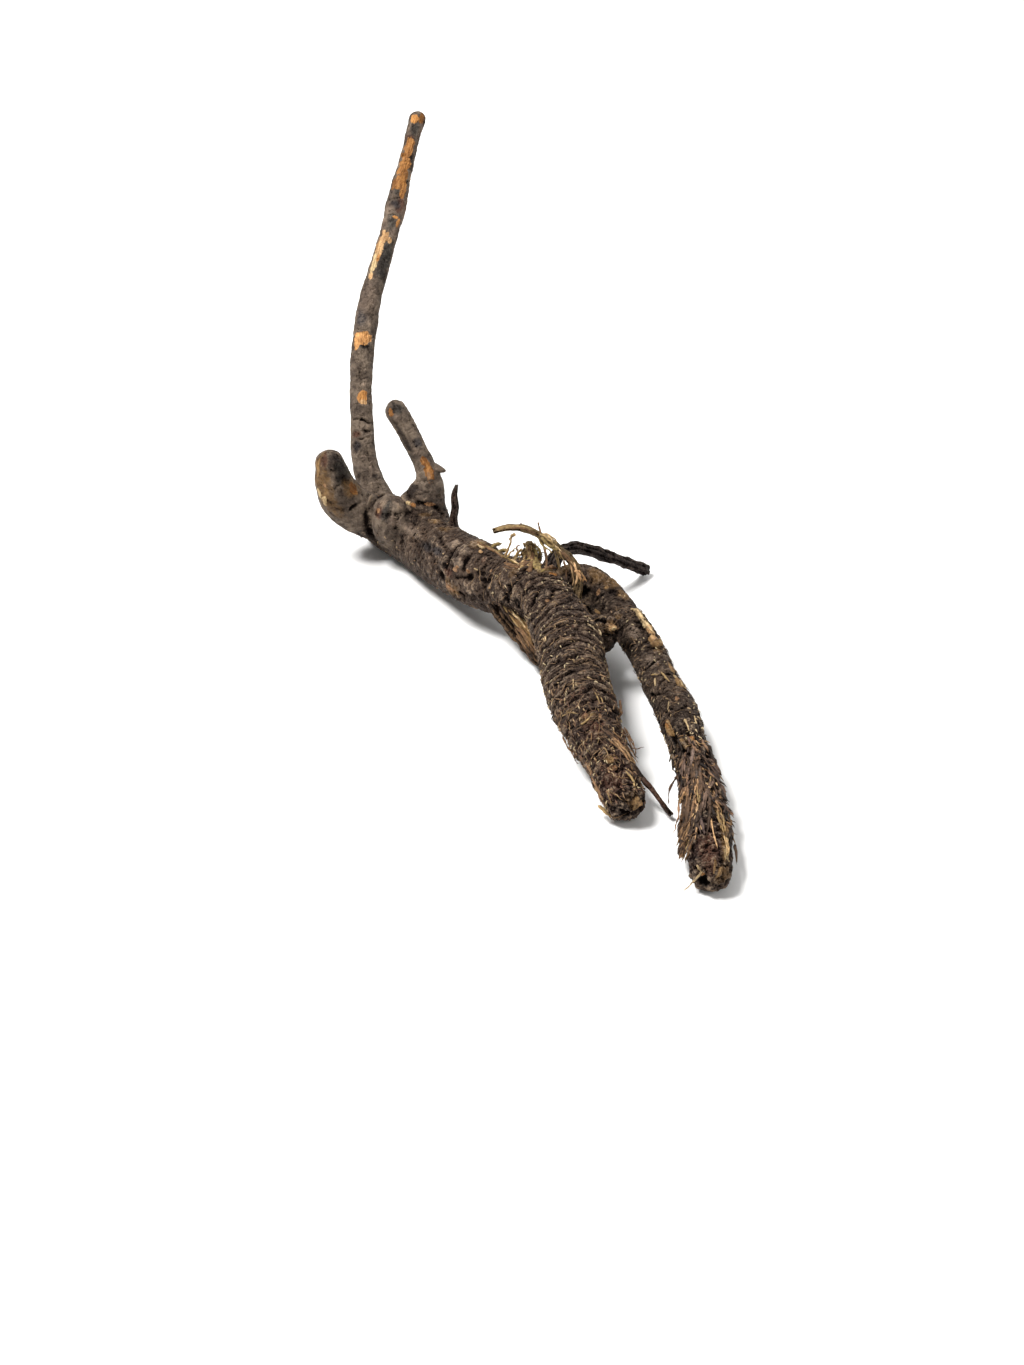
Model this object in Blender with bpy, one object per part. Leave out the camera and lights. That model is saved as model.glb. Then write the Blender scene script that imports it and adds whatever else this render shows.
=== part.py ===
"""A dried osha root: one knotted rhizome that forks at the front, with its stubs, side roots and bristles.

It lies on a level surface: on the heel of its crown, its two front tips and a slender side root at the back.
Stations are in millimetres, with z measured from that surface. The model is in metres, with +Z up.
"""

import math
import random
from dataclasses import dataclass

import bmesh
import bpy
from mathutils import Matrix, Vector, noise

MM = 0.001
SEED = 7
WELD = 0.0001
UP = Vector((0.0, 0.0, 1.0))
SHARP_ANGLE = math.radians(40)

# The middle of the whole root seen from above, in the stations' own millimetres. It becomes the origin.
FOOTPRINT_CENTRE = Vector((-1.7, 36.0, 0.0))

# Bark relief: slow lumps and smaller knots, as wavelength and height.
LUMP_WAVE, LUMP_HEIGHT = 12.0, 0.9
KNOT_WAVE, KNOT_HEIGHT = 5.0, 0.35

# Rings: distance from crest to crest, crest height over the furrow, and how far each of them may stray.
RING_PITCH, RING_DEPTH = 2.8, 0.75
SIDE_RING_PITCH, SIDE_RING_DEPTH = 3.4, 0.5
STEP_SPREAD, DEPTH_SPREAD = (0.8, 1.2), (0.5, 1.2)

# A domed tip is as long as this share of its diameter, and its last section keeps this share of its radius.
DOME_LENGTH, DOME_LEFT = 0.45, 0.35

BARK_COLOUR = (0.062, 0.042, 0.030, 1.0)
BARK_ROUGHNESS = 0.9


@dataclass(frozen=True)
class Limb:
    """One root or stub, as stations along its middle.

    stations holds x, y, z and diameter. step is the distance between sections. It is half a ring's pitch
    where ring_depth is set, because a ring is one crest and one furrow. lumpy scales the bark relief.
    """

    name: str
    stations: tuple
    sides: int
    step: float
    ring_depth: float = 0.0
    domed: bool = False
    lumpy: float = 1.0


RHIZOME = Limb(
    "rhizome",
    (
        (-44.4, 82.3, 12.0, 9.0),
        (-38.5, 81.0, 8.4, 16.0),
        (-28.7, 69.6, 8.8, 17.6),
        (-19.0, 54.5, 11.2, 18.2),
        (-9.0, 39.8, 14.0, 18.5),
        (0.6, 31.1, 15.5, 18.3),
        (7.9, 22.1, 16.0, 18.0),
        (12.9, 11.6, 15.7, 17.4),
        (15.3, 1.6, 15.0, 18.2),
        (17.1, -12.7, 13.7, 18.6),
        (19.1, -22.5, 12.6, 18.1),
        (21.4, -30.9, 10.4, 15.3),
        (24.3, -38.2, 7.8, 12.7),
        (27.0, -48.4, 5.8, 11.9),
        (28.9, -56.6, 4.8, 9.4),
    ),
    sides=14,
    step=RING_PITCH / 2,
    ring_depth=RING_DEPTH,
    domed=True,
)
SIDE_ROOT = Limb(
    "side_root",
    (
        (8.0, 24.0, 16.0, 9.0),
        (15.5, 29.5, 17.5, 10.4),
        (21.3, 30.0, 16.7, 11.1),
        (24.8, 28.2, 15.0, 11.0),
        (27.7, 23.4, 13.2, 10.4),
        (30.9, 15.8, 12.0, 9.8),
        (34.0, 7.2, 11.2, 9.4),
        (37.0, -0.9, 10.3, 9.8),
        (39.4, -10.0, 9.6, 10.7),
        (41.6, -18.9, 9.0, 11.3),
        (43.8, -31.3, 8.3, 11.6),
        (45.8, -41.9, 7.5, 11.6),
        (46.4, -52.5, 6.8, 12.0),
        (46.6, -63.1, 6.0, 12.2),
        (46.6, -71.4, 5.3, 11.4),
        (46.3, -81.2, 4.7, 9.2),
    ),
    sides=12,
    step=SIDE_RING_PITCH / 2,
    ring_depth=SIDE_RING_DEPTH,
    domed=True,
)
LONG_ROOT = Limb(
    "long_root",
    (
        (-37.8, 77.0, 11.5, 12.5),
        (-40.5, 80.8, 16.3, 9.5),
        (-42.6, 84.1, 20.5, 8.3),
        (-44.1, 88.2, 25.7, 7.2),
        (-45.0, 95.5, 35.2, 6.4),
        (-45.0, 103.2, 45.0, 6.1),
        (-44.6, 108.2, 51.4, 6.6),
        (-43.7, 113.0, 57.6, 6.6),
        (-42.2, 117.7, 63.6, 6.1),
        (-40.5, 121.8, 68.8, 5.4),
        (-38.4, 126.5, 74.8, 5.5),
        (-36.3, 130.6, 80.1, 5.4),
        (-35.1, 134.2, 84.6, 5.7),
        (-34.3, 137.7, 89.2, 5.3),
        (-32.6, 141.3, 93.8, 4.4),
        (-31.1, 144.9, 98.4, 3.9),
        (-30.1, 148.5, 102.9, 4.2),
        (-28.0, 152.4, 108.0, 5.4),
    ),
    sides=8,
    step=3.4,
    domed=True,
    lumpy=0.35,
)
LEFT_STUB = Limb(
    "left_stub",
    (
        (-36.0, 76.0, 10.5, 13.6),
        (-42.0, 74.5, 12.8, 13.2),
        (-46.8, 73.0, 16.5, 12.6),
        (-50.0, 71.8, 21.5, 12.4),
        (-51.5, 71.0, 26.5, 11.5),
        (-52.1, 70.7, 31.5, 9.6),
        (-52.4, 70.4, 36.4, 7.0),
    ),
    sides=12,
    step=1.5,
    ring_depth=0.4,
    domed=True,
    lumpy=0.7,
)
RIGHT_STUB = Limb(
    "right_stub",
    (
        (-25.0, 68.0, 11.5, 15.9),
        (-26.1, 71.2, 17.5, 13.8),
        (-25.4, 71.8, 22.0, 11.1),
        (-24.7, 72.4, 25.5, 8.3),
        (-24.8, 73.1, 28.5, 6.9),
        (-26.5, 75.3, 32.0, 6.1),
        (-29.0, 76.9, 37.0, 6.2),
        (-31.4, 78.8, 41.5, 6.0),
        (-33.4, 79.4, 45.4, 5.7),
        (-34.8, 79.4, 47.9, 4.9),
    ),
    sides=10,
    step=1.5,
    ring_depth=0.3,
    domed=True,
    lumpy=0.4,
)
TORN_ROOT = Limb(
    "torn_root",
    (
        (-3.3, 29.0, 14.0, 9.0),
        (-0.8, 26.6, 10.5, 7.5),
        (1.9, 24.2, 7.9, 6.4),
        (4.7, 19.9, 6.2, 5.5),
        (7.1, 15.5, 5.2, 4.6),
        (9.4, 9.6, 4.6, 3.7),
    ),
    sides=8,
    step=2.4,
    domed=True,
    lumpy=0.5,
)
STUMP = Limb(
    "stump",
    (
        (15.5, 12.0, 14.0, 10.0),
        (21.6, 7.9, 17.0, 7.2),
        (24.9, 6.1, 18.5, 4.8),
        (28.0, 4.8, 19.5, 3.4),
    ),
    sides=8,
    step=1.5,
    ring_depth=0.2,
    lumpy=0.3,
)
CROWN_KNOB = Limb(
    "crown_knob",
    ((-34.0, 70.0, 9.0, 12.0), (-35.0, 68.0, 14.5, 12.4), (-35.2, 67.6, 22.0, 9.6)),
    sides=12,
    step=1.5,
    ring_depth=0.4,
    domed=True,
    lumpy=0.8,
)
SPUR = Limb(
    "spur",
    ((-24.6, 74.0, 28.0, 4.4), (-22.2, 72.8, 29.8, 3.2), (-19.6, 70.6, 30.4, 1.2)),
    sides=6,
    step=1.6,
    lumpy=0.0,
)
ROOTLET = Limb(
    "rootlet",
    (
        (-16.2, 57.5, 15.5, 3.6),
        (-16.8, 59.8, 20.5, 2.1),
        (-16.3, 60.9, 23.5, 1.9),
        (-16.5, 61.6, 27.0, 1.5),
        (-15.8, 62.4, 30.2, 0.9),
    ),
    sides=6,
    step=2.4,
    lumpy=0.0,
)
TIP_ROOTLET = Limb(
    "tip_rootlet",
    (
        (25.0, -38.5, 8.0, 2.6),
        (29.2, -42.0, 9.2, 1.7),
        (31.5, -45.2, 8.0, 1.4),
        (34.6, -48.1, 5.8, 1.2),
        (39.2, -52.2, 1.6, 1.2),
    ),
    sides=6,
    step=3.0,
    lumpy=0.0,
)
TAN_STRAND = Limb(
    "tan_strand",
    (
        (17.6, 19.0, 19.5, 3.0),
        (18.2, 21.6, 24.4, 2.6),
        (17.0, 23.4, 27.0, 2.4),
        (14.9, 25.3, 29.0, 2.4),
        (12.2, 27.5, 30.5, 2.5),
        (9.6, 29.2, 31.6, 2.4),
        (6.2, 31.2, 33.0, 1.9),
        (3.3, 32.5, 33.5, 1.8),
        (-1.0, 33.3, 33.3, 1.6),
        (-5.2, 33.5, 32.0, 1.4),
    ),
    sides=6,
    step=2.6,
    lumpy=0.0,
)
BACK_ROOTLET = Limb(
    "back_rootlet",
    (
        (7.0, 30.0, 14.5, 6.0),
        (10.0, 37.5, 17.0, 4.6),
        (12.6, 43.6, 19.4, 3.3),
        (17.9, 48.9, 18.5, 2.9),
        (22.9, 52.1, 15.6, 2.9),
        (28.8, 55.3, 11.5, 2.9),
        (35.0, 59.4, 6.5, 3.0),
        (40.3, 63.7, 1.2, 3.6),
    ),
    sides=8,
    step=3.0,
    lumpy=0.2,
)
LIMBS = (
    SIDE_ROOT,
    LONG_ROOT,
    LEFT_STUB,
    RIGHT_STUB,
    CROWN_KNOB,
    TORN_ROOT,
    STUMP,
    SPUR,
    ROOTLET,
    TIP_ROOTLET,
    TAN_STRAND,
    BACK_ROOTLET,
)

# The hollow, broken face on the front of the left stub: its middle, half sizes and lean from upright.
HOLLOW_MIDDLE = Vector((-47.8, 66.0, 30.8))
HOLLOW_SIZES = (2.3, 3.2, 5.6)
HOLLOW_LEAN = math.radians(-23.0)

# Bristles along the front of both forks: how many, and between which shares of the limb's length they start.
BRISTLES = ((SIDE_ROOT, 46, 0.42, 0.94), (RHIZOME, 16, 0.78, 0.95))
BRISTLE_LENGTH = (6.0, 11.0)
BRISTLE_THICKNESS, BRISTLE_TAPER = 0.9, 0.4
BRISTLE_FROM, BRISTLE_TO, BRISTLE_TWIST = math.radians(-15), math.radians(195), 0.12
# Share of the bristle's length, and height of its middle over the bark there.
BRISTLE_PROFILE = ((0.0, -0.9), (0.4, 0.35), (1.0, 1.0))

# Shreds of old leaf base stand in a tuft behind the fork.
TUFT_MIDDLE = Vector((3.5, 35.0, 22.0))
TUFT_RADIUS = 4.0
TUFT_SHREDS = 12
SHRED_LENGTH, SHRED_LEAN, SHRED_SUNK = (5.0, 8.0), (0.2, 0.6), 3.0
# Share of the lean, share of the length, and radius, from the foot to the tip.
SHRED_PROFILE = ((0.2, 0.5, 0.6), (1.0, 0.85, 0.4))

# The block under the surface that the root lies on.
FLOOR_SIZE = (300.0, 400.0, 20.0)


def clear_scene():
    for obj in list(bpy.data.objects):
        bpy.data.objects.remove(obj)


def new_collection(name, hidden=False):
    collection = bpy.data.collections.new(name)
    bpy.context.scene.collection.children.link(collection)
    collection.hide_render = hidden
    return collection


def curve_through(stations, per_span=16):
    """Closely spaced places on a smooth curve through the stations, each with its distance and radius."""
    points = [Vector(station) for station in stations]
    points = [2 * points[0] - points[1], *points, 2 * points[-1] - points[-2]]
    places = []
    for before, here, there, after in zip(points, points[1:], points[2:], points[3:]):
        for k in range(per_span):
            t = k / per_span
            places.append(
                0.5
                * (
                    2 * here
                    + (there - before) * t
                    + (2 * before - 5 * here + 4 * there - after) * t**2
                    + (3 * here - before - 3 * there + after) * t**3
                )
            )
    places.append(points[-2])
    distance = 0.0
    run = [(0.0, places[0].xyz, places[0].w / 2)]
    for before, here in zip(places, places[1:]):
        distance += (here.xyz - before.xyz).length
        run.append((distance, here.xyz, here.w / 2))
    return run


def place_at(run, distance):
    """The middle and radius at a distance along the run, and the direction of growth there."""
    last = len(run) - 1
    index = next((i for i in range(1, last) if run[i][0] >= distance), last)
    (d0, p0, r0), (d1, p1, r1) = run[index - 1], run[index]
    share = (distance - d0) / (d1 - d0)
    return p0.lerp(p1, share), r0 + (r1 - r0) * share, (p1 - p0).normalized()


def sections(limb, draw):
    """The limb's cross-sections, as middle and radius, with its rings and its domed tip."""
    run = curve_through(limb.stations)
    length = run[-1][0]
    distances, at = [], 0.0
    while at < length - 0.5 * limb.step:
        distances.append(at)
        at += limb.step * draw.uniform(*STEP_SPREAD)
    distances.append(length)
    dome = DOME_LENGTH * 2 * run[-1][2] if limb.domed else 0.0
    made = []
    for index, distance in enumerate(distances):
        middle, radius, _ = place_at(run, distance)
        crest = 1 if index % 2 else -1
        radius += crest * limb.ring_depth / 2 * draw.uniform(*DEPTH_SPREAD)
        into_dome = (distance - (length - dome)) / dome if dome else 0.0
        if into_dome > 0:
            radius *= max(DOME_LEFT, math.sqrt(1 - min(1.0, into_dome) ** 2))
        made.append((middle, radius))
    return made


def tube(name, made, sides, collection):
    """A closed tube through the sections. sides is even, because a curve's bevel gains corners in pairs."""
    curve = bpy.data.curves.new(name, "CURVE")
    curve.dimensions = "3D"
    curve.twist_mode = "MINIMUM"
    curve.bevel_depth = 1.0
    curve.bevel_resolution = sides // 2 - 2
    curve.use_fill_caps = True
    spline = curve.splines.new("POLY")
    spline.points.add(len(made) - 1)
    for point, (middle, radius) in zip(spline.points, made):
        point.co = (*middle, 1.0)
        point.radius = radius
    guide = bpy.data.objects.new(name, curve)
    collection.objects.link(guide)
    graph = bpy.context.evaluated_depsgraph_get()
    mesh = bpy.data.meshes.new_from_object(guide.evaluated_get(graph))
    bm = bmesh.new()
    bm.from_mesh(mesh)
    bmesh.ops.remove_doubles(bm, verts=bm.verts, dist=WELD)
    bmesh.ops.recalc_face_normals(bm, faces=bm.faces)
    bm.to_mesh(mesh)
    bm.free()
    solid = bpy.data.objects.new(name, mesh)
    solid.matrix_world = guide.matrix_world
    collection.objects.link(solid)
    bpy.data.objects.remove(guide)
    return solid


def roughen(solid, amount):
    """Moves the surface in and out by the bark's lumps and knots, which follow the place and not the limb."""
    for vertex in solid.data.vertices:
        lump = LUMP_HEIGHT * noise.noise(vertex.co / LUMP_WAVE)
        knot = KNOT_HEIGHT * noise.noise(vertex.co / KNOT_WAVE)
        vertex.co += vertex.normal * (lump + knot) * amount


def limb_solid(limb, draw, collection):
    solid = tube(limb.name, sections(limb, draw), limb.sides, collection)
    roughen(solid, limb.lumpy)
    return solid


def across(direction):
    """Two directions square to the limb, the first one level."""
    level = direction.cross(UP).normalized()
    return level, level.cross(direction)


def bristle_solids(limb, count, first, last, draw, collection):
    """Coarse bristles that leave the bark at a low angle and point to the tip. None grows downwards."""
    run = curve_through(limb.stations)
    length = run[-1][0]
    for index in range(count):
        start = length * (first + (last - first) * (index + draw.random()) / count)
        reach = min(draw.uniform(*BRISTLE_LENGTH), length - start)
        angle = draw.uniform(BRISTLE_FROM, BRISTLE_TO)
        made = []
        for share, lift in BRISTLE_PROFILE:
            middle, radius, direction = place_at(run, start + share * reach)
            level, upper = across(direction)
            out = math.cos(angle) * level + math.sin(angle) * upper
            made.append((middle + out * (radius + lift), BRISTLE_THICKNESS / 2 * (1 - BRISTLE_TAPER * share)))
            angle += draw.uniform(-BRISTLE_TWIST, BRISTLE_TWIST)
        tube(f"bristle_{limb.name}_{index}", made, 4, collection)


def tuft_solids(draw, collection):
    """Shreds that fan out of one spot and bend over at the top."""
    for index in range(TUFT_SHREDS):
        turn = 2 * math.pi * (index + draw.random() / 2) / TUFT_SHREDS
        outward = Vector((math.cos(turn), math.sin(turn), 0))
        foot = TUFT_MIDDLE + outward * TUFT_RADIUS * draw.random()
        reach, lean = draw.uniform(*SHRED_LENGTH), draw.uniform(*SHRED_LEAN)
        made = [(foot - SHRED_SUNK * UP, BRISTLE_THICKNESS)]
        for out, rise, radius in SHRED_PROFILE:
            made.append((foot + reach * (out * lean * outward + rise * UP), radius))
        tube(f"shred_{index}", made, 4, collection)


def apply_boolean(solid, operation, **operand):
    """Joins or cuts with the EXACT solver, and keeps the result as the solid's own mesh."""
    modifier = solid.modifiers.new(operation.lower(), "BOOLEAN")
    modifier.operation = operation
    modifier.solver = "EXACT"
    for key, value in operand.items():
        setattr(modifier, key, value)
    graph = bpy.context.evaluated_depsgraph_get()
    mesh = bpy.data.meshes.new_from_object(solid.evaluated_get(graph))
    solid.modifiers.remove(modifier)
    solid.data = mesh


def hollow_cutter(collection):
    bm = bmesh.new()
    bmesh.ops.create_uvsphere(bm, u_segments=12, v_segments=8, radius=1.0)
    scale = Matrix.Diagonal((*HOLLOW_SIZES, 1.0))
    lean = Matrix.Rotation(HOLLOW_LEAN, 4, "Y")
    bmesh.ops.transform(bm, verts=bm.verts, matrix=Matrix.Translation(HOLLOW_MIDDLE) @ lean @ scale)
    return mesh_object("hollow_cutter", bm, collection)


def floor_cutter(collection):
    """The block under the surface. It leaves a small flat spot wherever the root rests."""
    bm = bmesh.new()
    bmesh.ops.create_cube(bm, size=1.0)
    place = Matrix.Translation(FOOTPRINT_CENTRE - FLOOR_SIZE[2] / 2 * UP)
    bmesh.ops.transform(bm, verts=bm.verts, matrix=place @ Matrix.Diagonal((*FLOOR_SIZE, 1.0)))
    return mesh_object("floor_cutter", bm, collection)


def mesh_object(name, bm, collection):
    mesh = bpy.data.meshes.new(name)
    bm.to_mesh(mesh)
    bm.free()
    made = bpy.data.objects.new(name, mesh)
    made.hide_render = True
    made.display_type = "WIRE"
    collection.objects.link(made)
    return made


def keep_largest_body(mesh):
    """Drops the scraps that a cut leaves loose."""
    bm = bmesh.new()
    bm.from_mesh(mesh)
    left, bodies = set(bm.verts), []
    while left:
        body, edge = set(), {left.pop()}
        while edge:
            body |= edge
            edge = {e.other_vert(v) for v in edge for e in v.link_edges} - body
        left -= body
        bodies.append(body)
    largest = max(bodies, key=len)
    bmesh.ops.delete(bm, geom=[v for v in bm.verts if v not in largest], context="VERTS")
    bm.to_mesh(mesh)
    bm.free()


def bark_material():
    material = bpy.data.materials.new("bark")
    material.use_nodes = True
    shader = material.node_tree.nodes["Principled BSDF"]
    shader.inputs["Base Color"].default_value = BARK_COLOUR
    shader.inputs["Roughness"].default_value = BARK_ROUGHNESS
    shader.inputs["Metallic"].default_value = 0.0
    return material


def main():
    clear_scene()
    draw = random.Random(SEED)
    root = new_collection("osha_root")
    grown = new_collection("grown_on")
    cutters = new_collection("cutters", hidden=True)

    solid = limb_solid(RHIZOME, draw, root)
    for limb in LIMBS:
        limb_solid(limb, draw, grown)
    for limb, count, first, last in BRISTLES:
        bristle_solids(limb, count, first, last, draw, grown)
    tuft_solids(draw, grown)

    apply_boolean(solid, "UNION", operand_type="COLLECTION", collection=grown)
    for obj in list(grown.objects):
        bpy.data.objects.remove(obj)
    bpy.data.collections.remove(grown)
    apply_boolean(solid, "DIFFERENCE", object=hollow_cutter(cutters))
    apply_boolean(solid, "DIFFERENCE", object=floor_cutter(cutters))
    keep_largest_body(solid.data)

    solid.name = "osha_root"
    solid.data.name = "osha_root"
    solid.data.transform(Matrix.Scale(MM, 4) @ Matrix.Translation(-FOOTPRINT_CENTRE))
    solid.data.shade_smooth()
    solid.data.set_sharp_from_angle(angle=SHARP_ANGLE)
    solid.data.materials.clear()
    solid.data.materials.append(bark_material())


main()
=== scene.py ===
"""The looks of a dried osha root: its bark, its peeled wood and its fibres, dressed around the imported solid.

Everything is modelled in the solid's own station millimetres, with z measured from the floor, and is moved into
the frame's metres at the end. A limb's own coordinates are the distance along it and the angle around it, which
is nought on the side that faces the camera.
"""

import itertools
import logging
import math
from dataclasses import dataclass
from enum import Enum

import bpy
import numpy as np
from mathutils import Matrix, Vector, noise
from mathutils.bvhtree import BVHTree


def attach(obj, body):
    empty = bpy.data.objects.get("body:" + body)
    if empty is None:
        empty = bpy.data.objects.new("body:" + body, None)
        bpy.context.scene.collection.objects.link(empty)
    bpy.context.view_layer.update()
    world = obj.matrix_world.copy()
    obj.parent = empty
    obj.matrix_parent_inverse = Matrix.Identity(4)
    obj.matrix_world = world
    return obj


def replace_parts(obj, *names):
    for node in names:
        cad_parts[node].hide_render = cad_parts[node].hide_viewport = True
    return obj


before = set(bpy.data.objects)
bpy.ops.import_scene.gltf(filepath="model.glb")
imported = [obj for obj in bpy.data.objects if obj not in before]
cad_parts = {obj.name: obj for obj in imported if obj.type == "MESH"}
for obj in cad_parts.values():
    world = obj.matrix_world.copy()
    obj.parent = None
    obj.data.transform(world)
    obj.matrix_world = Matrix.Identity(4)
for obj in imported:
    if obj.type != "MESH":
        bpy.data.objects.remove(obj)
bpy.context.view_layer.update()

log = logging.getLogger("osha_root")

MM = 0.001

# A row of places, or of pixels of the photograph.
Stations = tuple[tuple[float, float, float, float], ...]
Pixels = tuple[tuple[float, float], ...]

# The middle of the whole root seen from above, in station millimetres, as in the solid. It becomes the origin.
FOOTPRINT_CENTRE = np.array((-1.7, 36.0, 0.0))

# Slow lumps and smaller knots of the solid, as wavelength and height in millimetres.
LUMP_WAVE, LUMP_HEIGHT = 12.0, 0.9
KNOT_WAVE, KNOT_HEIGHT = 5.0, 0.35

# A domed tip is as long as this share of its diameter, and stops at this share of its length, so it keeps a width.
DOME_LENGTH, DOME_END = 0.45, 0.999

# Corners around a limb before its skin is grown.
TUBE_SIDES = 32

# Distance between the samples of a centre line, in millimetres, how many it has at least, and how many are first
# drawn between stations.
SAMPLE_STEP, LEAST_SAMPLES, SPAN_SAMPLES = 0.25, 8, 24

# How many points are compared with a centre line at a time, which bounds the memory.
BLOCK = 8000

# Numbers that mix a cell's place and a seed into the random slope at the cell's corner.
MIX_PLACE, MIX_SEED = (73856093, 19349663, 83492791), 40503
MIX_ROUNDS, MIX_BITS = ((13, 1274126177), (15, 668265263)), 0x7FFFFFFF


def linear(hex_colour: str) -> tuple[float, float, float, float]:
    """Turns an sRGB hex colour into the linear values that shaders use.

    Args:
        hex_colour: The colour, such as "#7d6b5c".

    Returns:
        Red, green, blue and full opacity.
    """
    values = [int(hex_colour[k : k + 2], 16) / 255 for k in (1, 3, 5)]
    red, green, blue = (v / 12.92 if v <= 0.04045 else ((v + 0.055) / 1.055) ** 2.4 for v in values)
    return red, green, blue, 1.0


def swell(points: np.ndarray, seed: int) -> np.ndarray:
    """Smooth noise with one bump or dip to a unit of distance.

    Args:
        points: Places, one row each.
        seed: Which of many such noises.

    Returns:
        One value for each place, from about -1 to 1.
    """
    cell = np.floor(points).astype(np.int64)
    part = points - cell
    fade = part**3 * (part * (part * 6 - 15) + 10)
    total = np.zeros(len(points))
    for corner in itertools.product((0, 1), repeat=3):
        mixed = np.bitwise_xor.reduce((cell + corner) * MIX_PLACE, axis=1) ^ ((seed + 1) * MIX_SEED)
        for shift, factor in MIX_ROUNDS:
            mixed = (mixed ^ (mixed >> shift)) * factor & MIX_BITS
        # Three of its bytes are the slope at this corner, each from -1 to 1.
        slope = np.stack([((mixed >> shift) & 255) / 127.5 - 1 for shift in (3, 11, 19)], axis=1)
        reach = part - corner
        share = np.where(np.array(corner) == 1, fade, 1 - fade).prod(axis=1)
        total += share * (slope * reach).sum(axis=1)
    return total * 1.5


def crumble(points: np.ndarray, seed: int, octaves: int) -> np.ndarray:
    """Rough noise: several swells, each half as wide and half as high as the one before.

    Args:
        points: Places, one row each.
        seed: Which of many such noises.
        octaves: How many swells are added up.

    Returns:
        One value for each place, from about -1 to 1.
    """
    return sum(swell(points * 2**k, seed + 31 * k) / 2**k for k in range(octaves))


def groove(values: np.ndarray, width: float) -> np.ndarray:
    """Thin lines where a noise crosses nought: 1 on the line, and 0 away from it."""
    return np.exp(-((values / width) ** 2))


def ease(values: np.ndarray, low: float, high: float) -> np.ndarray:
    """Rises smoothly from 0 at low to 1 at high. It falls where low is the greater."""
    share = np.clip((values - low) / (high - low), 0, 1)
    return share * share * (3 - 2 * share)


def table(kind: type, *rows: tuple[object, ...]) -> tuple:
    """Things of one kind, each from a row of values in the order of the kind's fields."""
    return tuple(kind(*row) for row in rows)


class Coat(Enum):
    """How the surface of a limb has grown and dried."""

    SCALY = "scaly"
    RINGED = "ringed"
    SMOOTH = "smooth"
    WRINKLED = "wrinkled"
    FIBROUS = "fibrous"
    GRAINED = "grained"
    CRUMBLY = "crumbly"
    BROKEN = "broken"


@dataclass(frozen=True)
class Limb:
    """One root or stub.

    stations holds x, y, z and diameter in millimetres. coats holds distances along the limb, each with the coat
    that is whole there. lumpy scales the solid's slow lumps.
    """

    name: str
    stations: Stations
    coats: tuple[tuple[float, Coat], ...]
    domed: bool = False
    lumpy: float = 1.0


RHIZOME = Limb(
    "rhizome",
    (
        (-44.4, 82.3, 12.0, 9.0), (-38.5, 81.0, 8.4, 16.0), (-28.7, 69.6, 8.8, 17.6), (-19.0, 54.5, 11.2, 18.2),
        (-9.0, 39.8, 14.0, 18.5), (0.6, 31.1, 15.5, 18.3), (7.9, 22.1, 16.0, 18.0), (12.9, 11.6, 15.7, 17.4),
        (15.3, 1.6, 15.0, 18.2), (16.6, -12.7, 13.7, 17.8), (18.4, -22.5, 12.6, 16.9), (21.1, -30.9, 10.4, 14.4),
        (24.0, -38.2, 7.7, 12.0), (26.7, -48.2, 5.9, 11.0), (29.1, -55.6, 5.0, 9.3),
    ),
    coats=(
        (26.0, Coat.WRINKLED), (36.0, Coat.SCALY), (72.0, Coat.SCALY), (86.0, Coat.RINGED), (130.0, Coat.RINGED),
        (146.0, Coat.CRUMBLY), (160.0, Coat.CRUMBLY), (163.0, Coat.BROKEN),
    ),
    domed=True,
    lumpy=0.35,
)
SIDE_ROOT = Limb(
    "side_root",
    (
        (8.0, 24.0, 16.0, 9.0), (15.5, 29.5, 17.5, 10.4), (21.3, 30.0, 16.7, 11.1), (24.8, 28.2, 15.0, 11.0),
        (28.0, 23.4, 13.2, 10.6), (32.2, 15.8, 12.0, 10.3), (35.2, 7.2, 11.2, 10.5), (37.5, -0.9, 10.3, 10.1),
        (39.9, -10.0, 9.6, 10.3), (42.2, -18.9, 9.0, 11.0), (44.2, -31.3, 8.3, 10.9), (45.6, -41.9, 7.5, 11.0),
        (46.3, -52.5, 6.8, 11.4), (46.9, -63.1, 6.0, 11.8), (46.6, -71.4, 5.3, 11.1), (46.2, -81.2, 4.7, 9.8),
    ),
    coats=(
        (14.0, Coat.SCALY), (24.0, Coat.WRINKLED), (76.0, Coat.WRINKLED), (90.0, Coat.FIBROUS), (112.0, Coat.FIBROUS),
        (119.0, Coat.CRUMBLY), (127.0, Coat.CRUMBLY), (130.0, Coat.BROKEN),
    ),
    domed=True,
    lumpy=0.3,
)
LONG_ROOT = Limb(
    "long_root",
    (
        (-37.8, 77.0, 11.5, 12.5), (-40.5, 80.8, 16.3, 9.5), (-42.6, 84.1, 20.5, 8.4), (-44.1, 88.2, 25.7, 7.4),
        (-44.9, 95.5, 35.2, 6.8), (-45.0, 103.2, 45.0, 6.6), (-44.6, 108.2, 51.4, 7.2), (-43.6, 113.0, 57.6, 7.2),
        (-42.2, 117.7, 63.6, 6.6), (-40.4, 121.8, 68.8, 5.9), (-38.3, 126.5, 74.8, 5.9), (-36.3, 130.6, 80.1, 5.9),
        (-35.0, 134.2, 84.6, 6.4), (-33.9, 137.7, 89.2, 5.5), (-32.4, 141.3, 93.8, 4.7), (-31.0, 144.9, 98.4, 4.4),
        (-29.7, 148.5, 102.9, 4.7), (-27.9, 152.4, 108.0, 5.6),
    ),
    coats=((0.0, Coat.SMOOTH),),
    domed=True,
    lumpy=0.35,
)
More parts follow.
